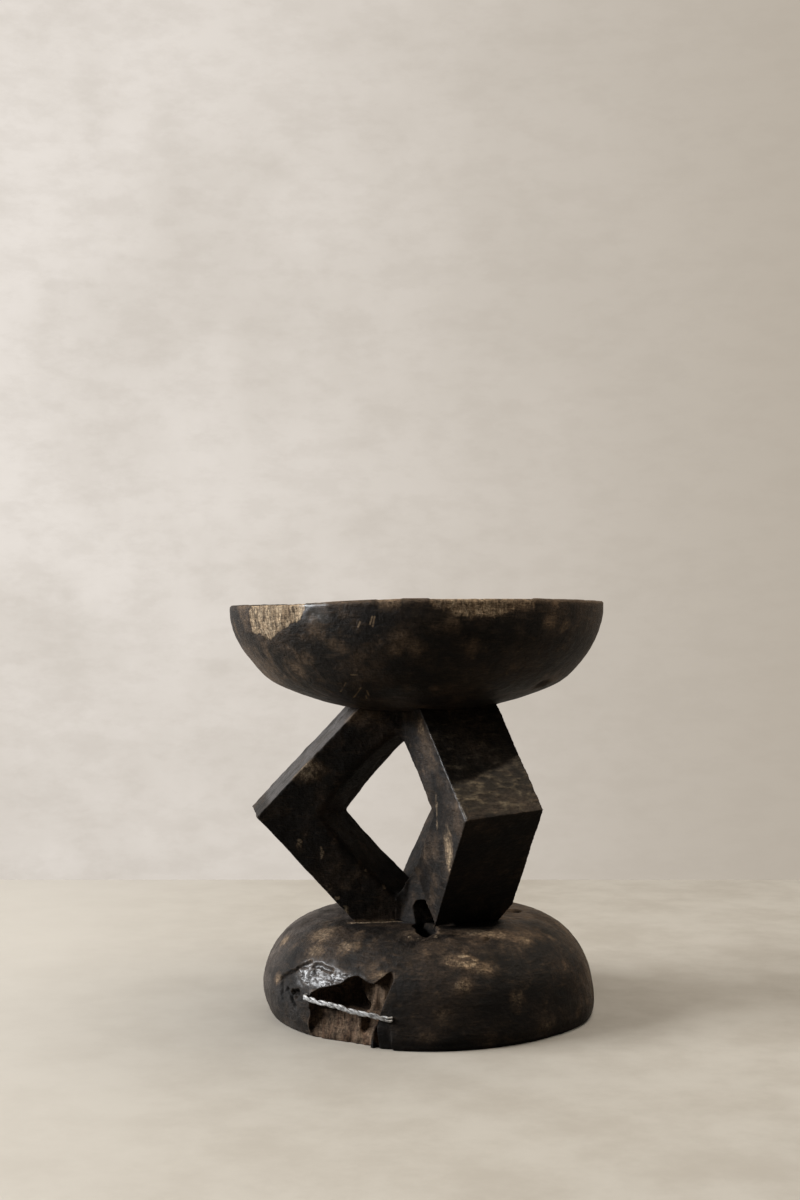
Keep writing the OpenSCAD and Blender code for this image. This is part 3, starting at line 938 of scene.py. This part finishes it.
# The worn olive of the right leg's upper face is real, but it fades out from 222 to 252 mm, where the seat's
# shadow edge lies, so the face above is darker as painted shade.
olive_fading_into_painted_shade = (0.12 + 0.88 * tool_marks) * (1 - 0.6 * ramp(p[:, 2], 222, 252))
store(legs,
      bare=strongest(0.45 * elbow_patch, 0.55 * streak, 0.5 * wide_patch, 0.35 * top_patch, 0.6 * low_chips,
                     0.3 * seam),
      brown=strongest(0.9 * seam, 0.35 * narrow * ramp(noise(p, 13, 87, 3), -0.1, 0.4), elbow_patch, left_top,
                      0.5 * wide_patch, 0.9 * top_patch),
      olive=upper_out * on_right * (1 - narrow) * olive_fading_into_painted_shade,
      # The grey on the left leg's upward strip, on the rear leg's upper face and on the right leg's narrow
      # face is a painted sheen of the window. Along the narrow face's edge the pale line is a painted
      # highlight over some wear.
      dust=strongest(0.12 * narrow, edge_line, 0.9 * upper_out * on_left, 0.5 * upper_out * ~on_right),
      gloss=strongest(0.06 * narrow, 0.5 * edge_line),
      # The black on faces turned down, and in a thin band where the right leg meets the foot, is painted
      # shade.
      soot=strongest(0.35 * fall(n[:, 2], -0.55, -0.25), fall(p[:, 2], foot_z - 0.4, foot_z + 0.6) * on_right,
                     0.62 * sooty_narrow),
      worn=ramp(edge_wear(legs), 0.035, 0.15) * (1 - near_seam))
print("the right leg's narrow face has", int((narrow > 0.5).sum()), "points")

# %% [markdown]
# Two planes through the middle of the legs part each of them from its neighbours. Bisect does
# this without remaking the skin. The cut faces are closed, because each leg is its own solid.


# %% Part the legs
def slice_off(piece, middle, outward):
    """Cuts away what lies beyond a plane and closes the cut."""
    work = bmesh.new()
    work.from_mesh(piece.data)
    everything = work.verts[:] + work.edges[:] + work.faces[:]
    done = bmesh.ops.bisect_plane(work, geom=everything, dist=1e-7, plane_co=Vector(middle) * MM,
                                  plane_no=outward, clear_outer=True)
    rim = [e for e in done["geom_cut"] if isinstance(e, bmesh.types.BMEdge)]
    cap = bmesh.ops.holes_fill(work, edges=rim, sides=0)["faces"]
    bmesh.ops.triangulate(work, faces=cap)
    for edge in rim:
        if edge.is_valid:
            edge.smooth = False
    work.to_mesh(piece.data)
    work.free()


def part_leg(name, before, after):
    piece = bpy.data.objects.new("carved_" + name, legs.data.copy())
    bpy.context.scene.collection.objects.link(piece)
    for azimuth_cut, sign in ((before, -1), (after, 1)):
        a = math.radians(azimuth_cut)
        outward = Vector((math.cos(a), math.sin(a), 0)) * sign
        slice_off(piece, (leg_middle_x, 0, 0), outward)
    return piece


most_triangles = 195000
leg_pieces = {}
for leg in leg_names:
    leg_pieces[leg] = part_leg(leg, *parting[leg])
    thin_out(leg_pieces[leg], most_triangles)
bpy.data.objects.remove(legs)


# %% [markdown]
# ## The foot
# The foot is a heavy dome that stands on a narrower heel. Where a piece of it broke out, the raw
# wood shows. The break is cut with a tool whose back is a relief: for every place across and up
# the break, it says how deep the wood is gone.

# %% Turn the foot
belly_z = 19.0
shoulder_r = 64.0
heel_r = 35.0
shoulder_x, shoulder_z = foot_r - shoulder_r, foot_z - shoulder_r
heel_x = foot_r - heel_r
heel_angle = -math.degrees(math.asin(belly_z / heel_r))


def foot_radius(z):
    """Reach of the plain foot at a height."""
    upper = shoulder_x + np.sqrt(np.clip(shoulder_r ** 2 - np.clip(z - shoulder_z, 0, None) ** 2, 0, None))
    lower = heel_x + np.sqrt(np.clip(heel_r ** 2 - np.clip(belly_z - z, 0, None) ** 2, 0, None))
    return np.where(z > belly_z, upper, lower)


foot_outline = [(0, 0)] + arc((heel_x, belly_z), heel_r, heel_angle, 0, 24)
foot_outline += arc((shoulder_x, shoulder_z), shoulder_r, 0, 90, 48) + [(0, foot_z)]
foot_spacing, foot_segments = 4.0, 288
foot = turn_on_lathe("carved_foot", even(foot_outline, foot_spacing), foot_segments, foot_x)

heel_azimuth = [-180, -110, -75, -50, -40, -26, -15, 0, 25, 45, 66, 90, 180]
heel_reach = [0, -2, -3.6, -2.4, -1.6, 1.5, 6.4, 6.4, 4.0, 2.6, 5.0, 3.5, 0]
heel_flare_z = 34.0


def uneven_heel(p):
    """Gives the heel its own reach on each side, fading out upwards."""
    offset = p[:, :2] - [foot_x, 0]
    reach = np.hypot(*offset.T)
    grown = np.interp(azimuth_of(offset), heel_azimuth, heel_reach)
    grown = grown * fall(p[:, 2], 0, heel_flare_z) * ramp(reach, 0, foot_r)
    p = p.copy()
    p[:, :2] += offset * (grown / np.maximum(reach, 1))[:, None]
    return p


set_points(foot, uneven_heel(points_of(foot)))
print("the heel reaches out by up to", max(heel_reach), "mm")

# %% Draw the broken place
break_azimuth = -29.5
lip_line = [(-35.2, 34.9), (-31, 39.3), (-25.7, 42.2), (-18, 44.5), (-10.6, 46.6), (-4.4, 48.7), (-0.6, 51.7),
            (2.3, 54.1), (5.4, 55.5), (9.7, 55.9), (14.6, 54.2), (20.4, 51.8), (25.7, 50.8), (28.9, 53.8),
            (32.6, 57.6), (35.5, 60.5), (39, 62.3)]
split_line = [(39.8, 63.4), (40.9, 54.5), (38.7, 45.9), (36.2, 37), (34.4, 31.3), (32.7, 23.9), (31.9, 17.6),
              (32.4, 12.9), (32.6, -6)]
left_line = [(-37, -6), (-36.5, 12), (-33, 20), (-34, 28)]
break_outline = np.array(left_line + lip_line + split_line)
print("the broken place is drawn with", len(break_outline), "points")


def inside_distance(x, z, outline):
    """Distance to an outline, positive inside it."""
    nearest = np.full(x.shape, 1e9)
    inside = np.zeros(x.shape, bool)
    for (ax, az), (bx, bz) in zip(outline, np.roll(outline, -1, axis=0)):
        dx, dz = bx - ax, bz - az
        t = np.clip(((x - ax) * dx + (z - az) * dz) / (dx * dx + dz * dz), 0, 1)
        nearest = np.minimum(nearest, np.hypot(x - ax - t * dx, z - az - t * dz))
        if az != bz:
            inside ^= ((az > z) != (bz > z)) & (x < ax + (z - az) * dx / dz)
    return np.where(inside, nearest, -nearest)


def flat_noise(x, z, size, seed, layers=2, tall=1.0):
    """Noise over the break, drawn out upwards by tall, as fibres are."""
    flat = np.stack([x.ravel(), np.zeros(x.size), z.ravel() / tall], axis=1)
    return noise(flat, size, seed, layers).reshape(x.shape)


def break_depth(x, z):
    """How far behind the widest line the broken wood lies."""
    fine = flat_noise(x, z, 2.2, 81, 2, 6)
    coarse_fibres = flat_noise(x, z, 5.5, 83, 2, 3)
    lumps = flat_noise(x, z, 9, 85, 2)
    slab = 15 - 4 * fall(z, 2, 22) + 0.7 * fine + 1.2 * coarse_fibres + 1.2 * lumps
    slab += 5.5 * ramp(x, 11, 15) * fall(x, 22, 25) * ramp(z, 8, 13) * fall(z, 22, 27)
    slab -= 5.5 * ramp(x, 24.0, 25.5) * fall(x, 28.5, 30) * fall(z, 15, 19)
    hollow = np.interp(x, [-36, -28, -12, 0, 10], [24, 29, 31, 38, 37]) + 2.2 * lumps + 1.2 * coarse_fibres
    hollow -= 5 * ramp(z, 38, 48)
    facet = 23 + 0.2 * (z - 30) + 0.8 * fine + 1.5 * lumps
    splinters = 19.5 + 1.6 * fine + 3.0 * coarse_fibres
    facet_left = np.interp(z, [30, 35.6, 42, 48], [15.5, 10.2, 5.6, 2.8]) + 0.8 * fine
    facet_right = np.interp(z, [30, 33, 48, 56], [18, 19, 20, 12]) + 1.2 * coarse_fibres
    above = hollow + (facet - hollow) * ramp(x, facet_left - 1.2, facet_left + 1.2)
    above = above + (splinters - above) * ramp(x, facet_right - 1.2, facet_right + 1.2)
    shelf = 24.5 + 1.6 * lumps + 0.8 * fine + np.interp(x, [-35, -20, 10, 18, 32], [3, 0, 0, 4, 2])
    return slab + (above - slab) * ramp(z, shelf - 1.5, shelf + 1.0)


# %% Break the wood out
grid_step = 0.7 * coarse
closed_depth = 2.5
tool_back = -14.0
gx, gz = np.meshgrid(np.arange(-42, 46, grid_step), np.arange(-4, 70, grid_step))
skin_depth = foot_r - np.sqrt(np.clip(foot_radius(gz) ** 2 - gx ** 2, 0, None))
open_share = ramp(inside_distance(gx, gz, break_outline), -0.6, 0.6)
relief = skin_depth - closed_depth + (break_depth(gx, gz) - skin_depth + closed_depth) * open_share


def break_place(x, z, depth):
    rx, ry = about_z(foot_r - depth, x, break_azimuth - 90)
    return np.stack([rx + foot_x, ry, z], axis=-1).reshape(-1, 3)


height, width = gx.shape
size = height * width
faces = []
for r in range(height - 1):
    for a in range(r * width, r * width + width - 1):
        faces.append((a, a + 1, a + width + 1, a + width))
        faces.append((size + a, size + a + width, size + a + width + 1, size + a + 1))
grid = np.arange(size).reshape(height, width)
border = [int(a) for a in np.concatenate([grid[0], grid[1:, -1], grid[-1, -2::-1], grid[-2:0:-1, 0]])]
for a, b in zip(border, border[1:] + border[:1]):
    faces.append((b, a, size + a, size + b))
tool_points = [break_place(gx, gz, depth) for depth in (relief, np.full(gx.shape, tool_back))]
combine(foot, make("break_tool", np.vstack(tool_points), faces))
print("foot after the break:", len(foot.data.vertices), "points")

# %% [markdown]
# Cracks, a knot, a blunt handled lip and a black pit below the right leg's notch are cut into the foot and
# also coloured. The knot is dark wood, the black in the cracks and the pit is painted shade, and the lip's
# pale bluish grey is a painted highlight. The points move when the marks are cut, so each of these places is
# a function that is asked once before the cut and once after it.

# %% Know the places on the foot that are cut and also coloured
crack_paths = [
    [(-118.7, -71.6, 43), (-112.5, -78.7, 47.5), (-105.7, -84, 53), (-99.8, -87.5, 57.6),
     (-93.1, -91.8, 60.9)],
    [(-89.6, -96.9, 59.7), (-84.5, -100.9, 60.6), (-77.8, -108, 59.3), (-73.7, -111.5, 58.9)],
    [(-117.9, -72.4, 44), (-117.5, -79.7, 26.9)],
    [(-112, -84, 36), (-108, -90, 31), (-105, -95, 24)],
    [(60.9, -94.3, 83.5), (58, -100, 81)],
]
knot_place, knot_reach = (-104.5, -95.5, 35), (6, 6, 3.4)
notch_pits = [((8.5, -77, 90), (9, 22, 9)), ((4.5, -64, 91), (8, 12, 8))]
lip_places = [((-86, -102, 53), (20, 17, 11)), ((-68, -115, 50), (24, 14, 9)), ((-52, -124, 53), (12, 7, 5))]


def look_at_break(p, thin, thick):
    """Place across the break, depth, and 1 where the wood is broken away."""
    towards, across = about_z(p[:, 0] - foot_x, p[:, 1], 90 - break_azimuth)
    gone = foot_radius(p[:, 2]) - np.hypot(p[:, 0] - foot_x, p[:, 1])
    inside = ramp(inside_distance(across, p[:, 2], break_outline), -2.5, -0.5)
    return across, foot_r - towards, inside * ramp(gone, thin, thick) * (towards > 0)


def crack_share(p, width):
    far = np.minimum.reduce([line_distance(p, path) for path in crack_paths])
    return fall(far + 1.5 * noise(p, 5, 91, 3), 0.6, width)


def below_notch(p):
    """The pit below the notch in the right leg. Its floor is painted black as shade."""
    return spots(p, notch_pits, 0.25, 107, 0.25, 0)


def near_lip(p):
    """The blunt, handled edge above the break."""
    return spots(p, lip_places, 0.45, 95, 0.5, 11)


def dry_pit(p):
    return spot(p, (88, 5, 86.5), (7, 7, 4), rough=0.3, seed=94)


def scraped_patch(p):
    return spot(p, (40, -127, 69.5), (11, 7, 6), rough=0.4, seed=104)


def level_scrapes(p):
    """Long fine scrapes that run round the foot."""
    return noise(np.stack([azimuth_of(p, foot_x) / 3.2, p[:, 2] * 1.6, p[:, 1] * 0], axis=1), 2.2, 87, 3)


print("cracks:", len(crack_paths))

# %% Skin the foot and carve its marks
foot_skin, foot_softening = 1.0, 3
lay_skin(foot, foot_skin, foot_softening)
p = points_of(foot)
whole = 1 - look_at_break(p, 1.0, 2.5)[2]
ridge_path = [(-17, -130, 67.4), (10.6, -124, 74.6), (31.7, -120, 76.2), (52.5, -126, 66.6)]
ridge = fall(line_distance(p, ridge_path), 0, 5)
knot = spot(p, knot_place, knot_reach, rough=0.5, seed=93, soft=0.25)
ringed_hole = fall(np.linalg.norm(p - [15.5, -89.7, 87], axis=1), 1.5, 3.2)
lip_dents = 1.5 * (scoops(p, 10, 96) - 0.35) + 1.1 * noise(p * [1.0, 1.0, 2.2], 5, 92, 3)
lip_dents = near_lip(p) * whole * (lip_dents + 0.5 * noise(p, 2.6, 90, 2))
scrapes = level_scrapes(p)
not_back = fall(np.abs(azimuth_of(p, foot_x)), 120, 165)
marks = 0.65 * scoops(p, 18, 97) + 1.1 * noise(p, 75, 98, 2) + 0.35 * noise(p, 10, 99, 2)
marks += 0.12 * noise(p, 3.5, 100) - 1.1
marks += 0.22 * scrapes * not_back * ramp(p[:, 2], 25, 45) - 0.5 * scraped_patch(p) * ramp(scrapes, -0.1, 0.4)
marks += 0.9 * ridge - 2.8 * crack_share(p, 3.2) - 4.5 * knot - 3.0 * ringed_hole - 3.5 * dry_pit(p)
marks += lip_dents - 8.0 * below_notch(p)
push(foot, marks * (0.12 + 0.88 * whole) * ramp(p[:, 2], 0.5, 6))
thin_out(foot, most_triangles)

# %% Say where the foot is raw or black, and paint the shade in its hollows
p = points_of(foot)
foot_azimuth = azimuth_of(p, foot_x)
across, depth, in_break = look_at_break(p, 1.2, 3.0)
whole = 1 - in_break
pit_floor = below_notch(p * [1, 1, 0] + [0, 0, 90]) * ramp(p[:, 2], 66, 70)
shaded_belly = fall(p[:, 2], 42, 58) * ramp(foot_azimuth, -26, -12) * fall(foot_azimuth, 55, 75) * whole
splinter_shade = in_break * ramp(p[:, 2], 38, 52) * ramp(across, 18, 30)
store(foot,
      raw=in_break,
      # Black deep in the break, in the cracks, on the pit's floor, on the lower front of the belly and under
      # the splinters is painted shade. The knot and the blotches are dark wood.
      soot=strongest(0.6 * ramp(depth, 27, 34) * in_break, crack_share(p, 2.8),
                     0.35 * ramp(noise(p, 24, 111, 3), 0.0, 0.5) * whole,
                     spot(p, knot_place, knot_reach, rough=0.5, seed=93), dry_pit(p),
                     0.97 * pit_floor, 0.6 * shaded_belly, 0.5 * splinter_shade))
print("raw wood shows on", round(float(in_break.mean()) * 100, 1), "% of the foot's points")

# %% Say where the foot is bare, brown or dusty, and paint its sheen and highlight
tan_places = [((-82.9, -68.7, 80), (17, 13, 6)), ((-117.8, -32.5, 68), (8, 10, 6)),
              ((63, -86, 85), (30, 9, 6)),
              ((38, -141, 52), (8, 7, 6)), ((49, -90, 87), (9, 6, 4)), ((93, -85, 79), (9, 7, 5)),
              ((56, -128, 64), (13, 6, 6)), ((29, -129, 70), (8, 6, 5)), ((84, -129, 38), (6, 6, 8)),
              ((108, -112, 11), (9, 8, 7)), ((8, -149, 12), (8, 6, 6)), ((60, -138, 6), (5, 6, 5)),
              ((-90, -85, 68), (11, 8, 5)), ((-30, -135, 58), (9, 7, 5)), ((4, -92, 85), (16, 6, 5)),
              ((95, -60, 76), (14, 14, 7)), ((60, -118, 62), (6, 6, 5)), ((-62, -100, 76), (14, 8, 5)),
              ((75, -108, 46), (6, 6, 5)), ((20, -146, 30), (8, 5, 6))]
tan = spots(p, tan_places, 0.6, 101, 0.8) * whole
leaf = ramp(noise(p * [1, 1, 1.3], 11, 112, 2), 0.22, 0.6) * ramp(noise(p, 42, 113), -0.25, 0.3) * whole
pink = spot(p, (-122.5, -65.4, 41.5), (6, 6, 5), rough=0.4, seed=121, soft=0.6)
scraped = scraped_patch(p) * whole
leg_line = [stand("left_leg")(x, foot_z, -1.5) for x in (leg_foot_r, 24)]
leg_seam = fall(line_distance(p, leg_line) + 0.9 * noise(p, 4, 115, 2), 1.7, 3.3)
chips = spots(p, [(place, (3, 3, 2.5)) for place in [(0, -105, 85.5), (7, -107, 85), (-6, -102, 86),
                                                     (16, -101, 86), (-93, -91, 62)]], 0.5, 131)
# The handled lip really has a polish, and its pale bluish grey is a painted highlight.
polish_and_painted_highlight = near_lip(p) * whole * (0.45 + 0.55 * ramp(noise(p * [1.0, 1.0, 2.0], 7, 89, 3), -0.35, 0.3))
not_back = fall(np.abs(foot_azimuth), 115, 165) * whole
# The left flank, the low left heel and the place between the legs face the window, and their grey is a
# painted sheen. The brown on both flanks is partly brown wood and partly painted light.
left_low = fall(foot_azimuth, -52, -44) * fall(p[:, 2], 34, 42) * whole * not_back
left_flank = fall(foot_azimuth, -88, -58) * not_back
right_flank = ramp(foot_azimuth, 60, 85) * not_back
between_legs = spot(p, (-7.5, -37.3, 87), (14, 16, 6), seed=141)
store(foot,
      bare=strongest(0.35 * tan, 0.75 * scraped * ramp(level_scrapes(p), -0.35, 0.15), 0.7 * chips,
                     0.3 * pink, 0.95 * leg_seam),
      brown=strongest(0.9 * tan, 0.8 * scraped, pink, 0.55 * leaf, 0.35 * left_flank, 0.5 * right_flank),
      gloss=polish_and_painted_highlight,
      dust=strongest(polish_and_painted_highlight, 0.2 * left_low, left_flank, between_legs),
      worn=ramp(edge_wear(foot), 0.05, 0.22) * whole)
print("brown shows through in", len(tan_places), "patches")

# %% [markdown]
# ## The repair wire
# Two strands of soft silvery wire were twisted together and pushed into the wood at both ends,
# like a staple. Each strand is a tube swept along a winding path. Hammering has pressed the
# strands flat against each other, so their section is wider than it is thick.

# %% Lead the wire from hole to hole
wire_left = (-44.64, 35.0)
wire_right = (-12.10, 26.0)
wire_proud = 3.0
wire_grip = 9.0
wire_sag_x = [-44.64, -38, -30, -24, -18, -12.1]
wire_sag_z = [0, 0.6, 1.8, 0.6, 1.0, 0]
bend_azimuth = 1.25
wire_span = 32.5
bend_steps = 6
bend_share = bend_azimuth / wire_span
span_steps = 120


def wire_point(azimuth, z, proud):
    a = math.radians(azimuth)
    r = float(foot_radius(np.array(z))) + proud
    return np.array([foot_x + r * math.sin(a), -r * math.cos(a), z])


def out_of_hole(hole, turn):
    """Points from deep in a hole, out of the wood and round the bend. turn is 1 or -1."""
    line = [wire_point(*hole, -wire_grip), wire_point(*hole, -wire_grip / 2)]
    for step in range(bend_steps):
        a = math.radians(90 * step / bend_steps)
        azimuth_now = hole[0] + turn * bend_azimuth * (1 - math.cos(a))
        line.append(wire_point(azimuth_now, hole[1], wire_proud * math.sin(a)))
    return line


middle_line = out_of_hole(wire_left, 1)
before_span = len(middle_line)
for step in range(span_steps + 1):
    t = bend_share + (1 - 2 * bend_share) * step / span_steps
    azimuth = wire_left[0] + t * (wire_right[0] - wire_left[0])
    z = wire_left[1] + t * (wire_right[1] - wire_left[1]) + np.interp(azimuth, wire_sag_x, wire_sag_z)
    middle_line.append(wire_point(azimuth, float(z), wire_proud))
middle_line = np.array(middle_line + out_of_hole(wire_right, -1)[::-1])
for smoothing in range(2):
    middle_line[1:-1] = (middle_line[:-2] + 2 * middle_line[1:-1] + middle_line[2:]) / 4
print("wire length", round(float(np.linalg.norm(np.diff(middle_line, axis=0), axis=1).sum()), 1), "mm")

# %% Twist the two strands
half_turns = 8
strand_wide = 3.1
strand_thick = 2.2
strand_gap = 0.02
hammered_flat = 1.15
strand_sides = 20


def strand(name, start):
    """One strand, wound about the wire's middle from a starting angle in degrees."""
    count = len(middle_line)
    along = np.gradient(middle_line, axis=0)
    along /= np.linalg.norm(along, axis=1)[:, None]
    across = np.cross([0, 0, 1.0], along)
    across /= np.linalg.norm(across, axis=1)[:, None]
    up = np.cross(along, across)
    share = np.clip((np.arange(count) - before_span) / span_steps, 0, 1)
    wobble = 0.35 * np.sin(share * 9.0 + start)
    turned = math.pi * half_turns * share + math.radians(start) + wobble
    spoke = np.cos(turned)[:, None] * across + np.sin(turned)[:, None] * up
    tangent = -np.sin(turned)[:, None] * across + np.cos(turned)[:, None] * up
    centre = middle_line + spoke * (strand_thick / 2 + strand_gap)
    angles = np.linspace(0, 2 * np.pi, strand_sides, endpoint=False)
    ring = (np.cos(angles)[None, :, None] * spoke[:, None] * strand_thick / 2
            + np.sin(angles)[None, :, None] * tangent[:, None] * strand_wide / 2)
    points = centre[:, None] + ring
    proud = ((points - middle_line[:, None]) * across[:, None]).sum(axis=-1)
    outer_side = np.sign((across * (middle_line - [foot_x, 0, 30])).sum(axis=-1))[:, None]
    beyond = np.clip(proud * outer_side - hammered_flat, 0, None)
    points -= 0.8 * (beyond * outer_side)[..., None] * across[:, None]
    faces = tube_faces(count, strand_sides)
    faces += [tuple(range(strand_sides)), tuple((count - 1) * strand_sides + k for k in range(strand_sides))]
    piece = make(name, points.reshape(-1, 3), faces)
    push(piece, 0.10 * noise(points_of(piece), 2.4, 121, 2))
    return piece


strand_a = strand("wire_strand_one", 90)
strand_b = strand("wire_strand_two", 270)
print("each strand has", len(strand_a.data.vertices), "points")

# %% [markdown]
# ## The finishes
# Smoke, wax and hands have made the wood nearly black. Brown shows through in soft blotches, beige where the
# surface has come off, and reddish brown inside the break. Grey sheen, pale highlights and black shade are
# painted in as well, where the marks say so. All of them share one grain that runs up the block, so they are
# one material that reads the marks stored above.


# %% Lay out the places and the clouds of the wood
wood = new_material("smoked_carved_wood")
tree = wood.node_tree
place = add("TexCoord").outputs["Object"]
upward = drawn_out(place, 0.11)
level = drawn_out(place, 5.0)
fibre = cloud(upward, 620)
wide_fibre = cloud(upward, 170, 4)
drag = cloud(level, 55, 6)
hairline = cloud(level, 210, 4, 0.7)
blotch = cloud(place, 21, 9, 0.62)
patchy = cloud(place, 75, 7, 0.62)
fine = cloud(place, 380, 5, 0.7)
cut_marks = cloud(place, 130, 4, 0.5)
flecks = cloud(drawn_out(place, 0.45), 340, 3, 0.6)


def mask(name):
    return add("Attribute", attribute_name=name).outputs["Fac"]


def vectors(how, inputs, output="Vector"):
    return add("VectorMath", inputs, operation=how).outputs[output]


print("nodes so far:", len(tree.nodes))

# %% [markdown]
# The seat has a few thin pale scratches. Cut into the skin they would need a far finer mesh, so
# they are drawn by the shader: each is the distance to a short line between two points of the seat.

# %% Scratch the seat
scratch_width = 1.1
scratch_share = 0.7
scratch_ends = [(-32.5, 295.5, -26.5, 303), (-30.5, 291.5, -21.5, 299.5), (-21.5, 293.5, -19.8, 296.5),
                (-24.0, 291, -22.5, 293.5), (-12.8, 349.5, -11.8, 358), (-13.7, 351, -12.9, 358.5),
                (-17.0, 350, -16.2, 353), (-22.5, 309.4, -20.3, 309.8)]
lower_r = [100, 112, 124, 134, 143.5, 168, 169.5]
lower_z = [290, 293.5, 296.3, 302.2, 309.5, 352, 360]
seat_skin = points_of(seat)


def stroke(place, start, end, width):
    """1 on a thin straight scratch between two places in millimetres, and 0 beside it."""
    a, b = Vector(start) * MM, Vector(end) * MM
    offset = vectors("SUBTRACT", {0: place, 1: a})
    run = vectors("DOT_PRODUCT", {0: offset, 1: (b - a) / (b - a).length_squared}, "Value")
    held = add("Clamp", {"Value": run}).outputs["Result"]
    far = vectors("DISTANCE", {0: offset, 1: vectors("SCALE", {0: b - a, "Scale": held})}, "Value")
    return stretch(far, width * MM, 0.3 * width * MM)


def on_seat_skin(azimuth, height):
    """Nearest point of the carved seat to a place on its measured side."""
    aim = np.array(on_round(azimuth, float(np.interp(height, lower_z, lower_r)), height))
    return seat_skin[np.argmin(((seat_skin - aim) ** 2).sum(axis=1))]


scratches = 0.0
for azimuth_a, height_a, azimuth_b, height_b in scratch_ends:
    ends = [on_seat_skin(azimuth_a, height_a), on_seat_skin(azimuth_b, height_b)]
    scratches = larger(scratches, times(stroke(place, *ends, scratch_width), scratch_share))
print("scratches:", len(scratch_ends))

# %% Mix the wood
black_wood = (0.0070, 0.0056, 0.0046, 1)
brown_wood = (0.024, 0.0165, 0.0115, 1)
warm_wood = (0.088, 0.058, 0.036, 1)
olive_wood = (0.085, 0.066, 0.043, 1)
# This grey stands for a dusty bloom and also for a painted sheen and highlight.
dusty_wood = (0.053, 0.048, 0.046, 1)
beige_wood = (0.215, 0.150, 0.092, 1)
pale_wood = (0.330, 0.250, 0.165, 1)
raw_wood = (0.092, 0.062, 0.041, 1)
red_wood = (0.050, 0.022, 0.012, 1)
# This near black is sooty wood and also painted shade.
soot = (0.0025, 0.0022, 0.0020, 1)

spotted = times(stretch(patchy, 0.54, 0.70), stretch(blotch, 0.42, 0.58))
torn_edge = plus(mask("bare"), times(minus(fine, 0.35), 0.7))
bare_colour = layered(
    beige_wood,
    (stretch(fibre, 0.40, 0.62), pale_wood),
    (times(stretch(wide_fibre, 0.48, 0.66), 0.6), warm_wood),
    (times(stretch(flecks, 0.53, 0.62), 0.75), brown_wood))
raw_colour = layered(
    raw_wood,
    (times(stretch(wide_fibre, 0.42, 0.66), 0.55), red_wood),
    (times(stretch(fibre, 0.48, 0.68), 0.6), black_wood),
    (times(stretch(patchy, 0.46, 0.62), 0.7), black_wood))
colour = layered(
    black_wood,
    (stretch(blotch, 0.44, 0.64), brown_wood),
    (times(spotted, 0.5), warm_wood),
    (times(stretch(drag, 0.52, 0.72), 0.22), warm_wood),
    (times(mask("dust"), stretch(patchy, 0.28, 0.62)), dusty_wood),
    (times(mask("olive"), stretch(patchy, 0.15, 0.60)), olive_wood),
    (times(mask("brown"), stretch(patchy, 0.20, 0.66)), warm_wood),
    (times(times(mask("worn"), stretch(blotch, 0.36, 0.58)), 0.5), warm_wood),
    (scratches, beige_wood),
    (times(stretch(torn_edge, 0.25, 0.95), stretch(mask("bare"), 0.05, 0.3)), bare_colour),
    (mask("raw"), raw_colour))
speckle = rescale(plus(times(fine, 0.55), times(hairline, 0.45)), 0.36, 0.64, 0.30, 1.75)
colour = blend(mask("soot"), vectors("SCALE", {0: colour, "Scale": speckle}), soot)
print("nodes with the colours:", len(tree.nodes))

# %% [markdown]
# The wood is hardly shiny, apart from a wet-looking place under the rim and the handled lip, which
# get a coat. Fibres and scraper lines finer than the mesh are left to bump.

# %% Give the wood its gloss and its fine relief
open_wood = larger(mask("bare"), larger(mask("raw"), mask("soot")))
roughness = plus(rescale(fine, 0.3, 0.7, 0.44, 0.62), times(open_wood, 0.4))
roughness = minus(roughness, times(mask("gloss"), 0.30))
relief_height = plus(times(fine, 0.6), times(fibre, larger(larger(mask("bare"), mask("raw")), 0.12)))
for layer in (times(drag, 0.5), times(hairline, 0.35), cut_marks):
    relief_height = reckon("ADD", relief_height, layer)
bump = add("Bump", {"Height": relief_height, "Strength": 1.0, "Distance": 0.0014}).outputs["Normal"]
shader = add("BsdfPrincipled", {"Base Color": colour, "Roughness": roughness, "Normal": bump,
                                "Specular IOR Level": 0.08,
                                "Coat Weight": times(mask("gloss"), 0.55), "Coat Roughness": 0.34})
add("OutputMaterial", {"Surface": shader.outputs["BSDF"]})
print("nodes of the wood:", len(tree.nodes))

# %% Dull the metal
metal = new_material("dull_silvery_wire")
tree = metal.node_tree
place = add("TexCoord").outputs["Object"]
scuffs = cloud(place, 900, 4)
tarnish = cloud(place, 260, 5)
metal_colour = blend(stretch(tarnish, 0.38, 0.62), (0.38, 0.375, 0.37, 1), (0.13, 0.125, 0.12, 1))
metal_rough = rescale(scuffs, 0, 1, 0.55, 0.80)
metal_bump = add("Bump", {"Height": scuffs, "Strength": 0.5, "Distance": 0.0003}).outputs["Normal"]
shader = add("BsdfPrincipled", {"Base Color": metal_colour, "Roughness": metal_rough,
                                      "Normal": metal_bump, "Metallic": 1.0})
add("OutputMaterial", {"Surface": shader.outputs["BSDF"]})

# %% Put the pieces in the measured places
low, high = np.array(cad_box[0]) / MM, np.array(cad_box[1]) / MM
edge_spare = 0.02
pieces = [(seat, "seat", wood, "carved_wood"), (foot, "foot", wood, "carved_wood"),
          (strand_a, "wire_strand_a", metal, "repair_wire"),
          (strand_b, "wire_strand_b", metal, "repair_wire")]
pieces += [(leg_pieces[leg], leg, wood, "carved_wood") for leg in leg_names]
for piece, node, finish, slot in pieces:
    spare = 0 if node == "foot" else edge_spare
    set_points(piece, np.clip(points_of(piece), low + spare, high - spare))
    piece.data.materials.clear()
    piece.data.materials.append(finish)
    piece.data.shade_smooth()
    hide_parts(node)
    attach(piece, "root")
    stool_pieces.objects.link(piece)
    print(piece.name, "stands for", node)
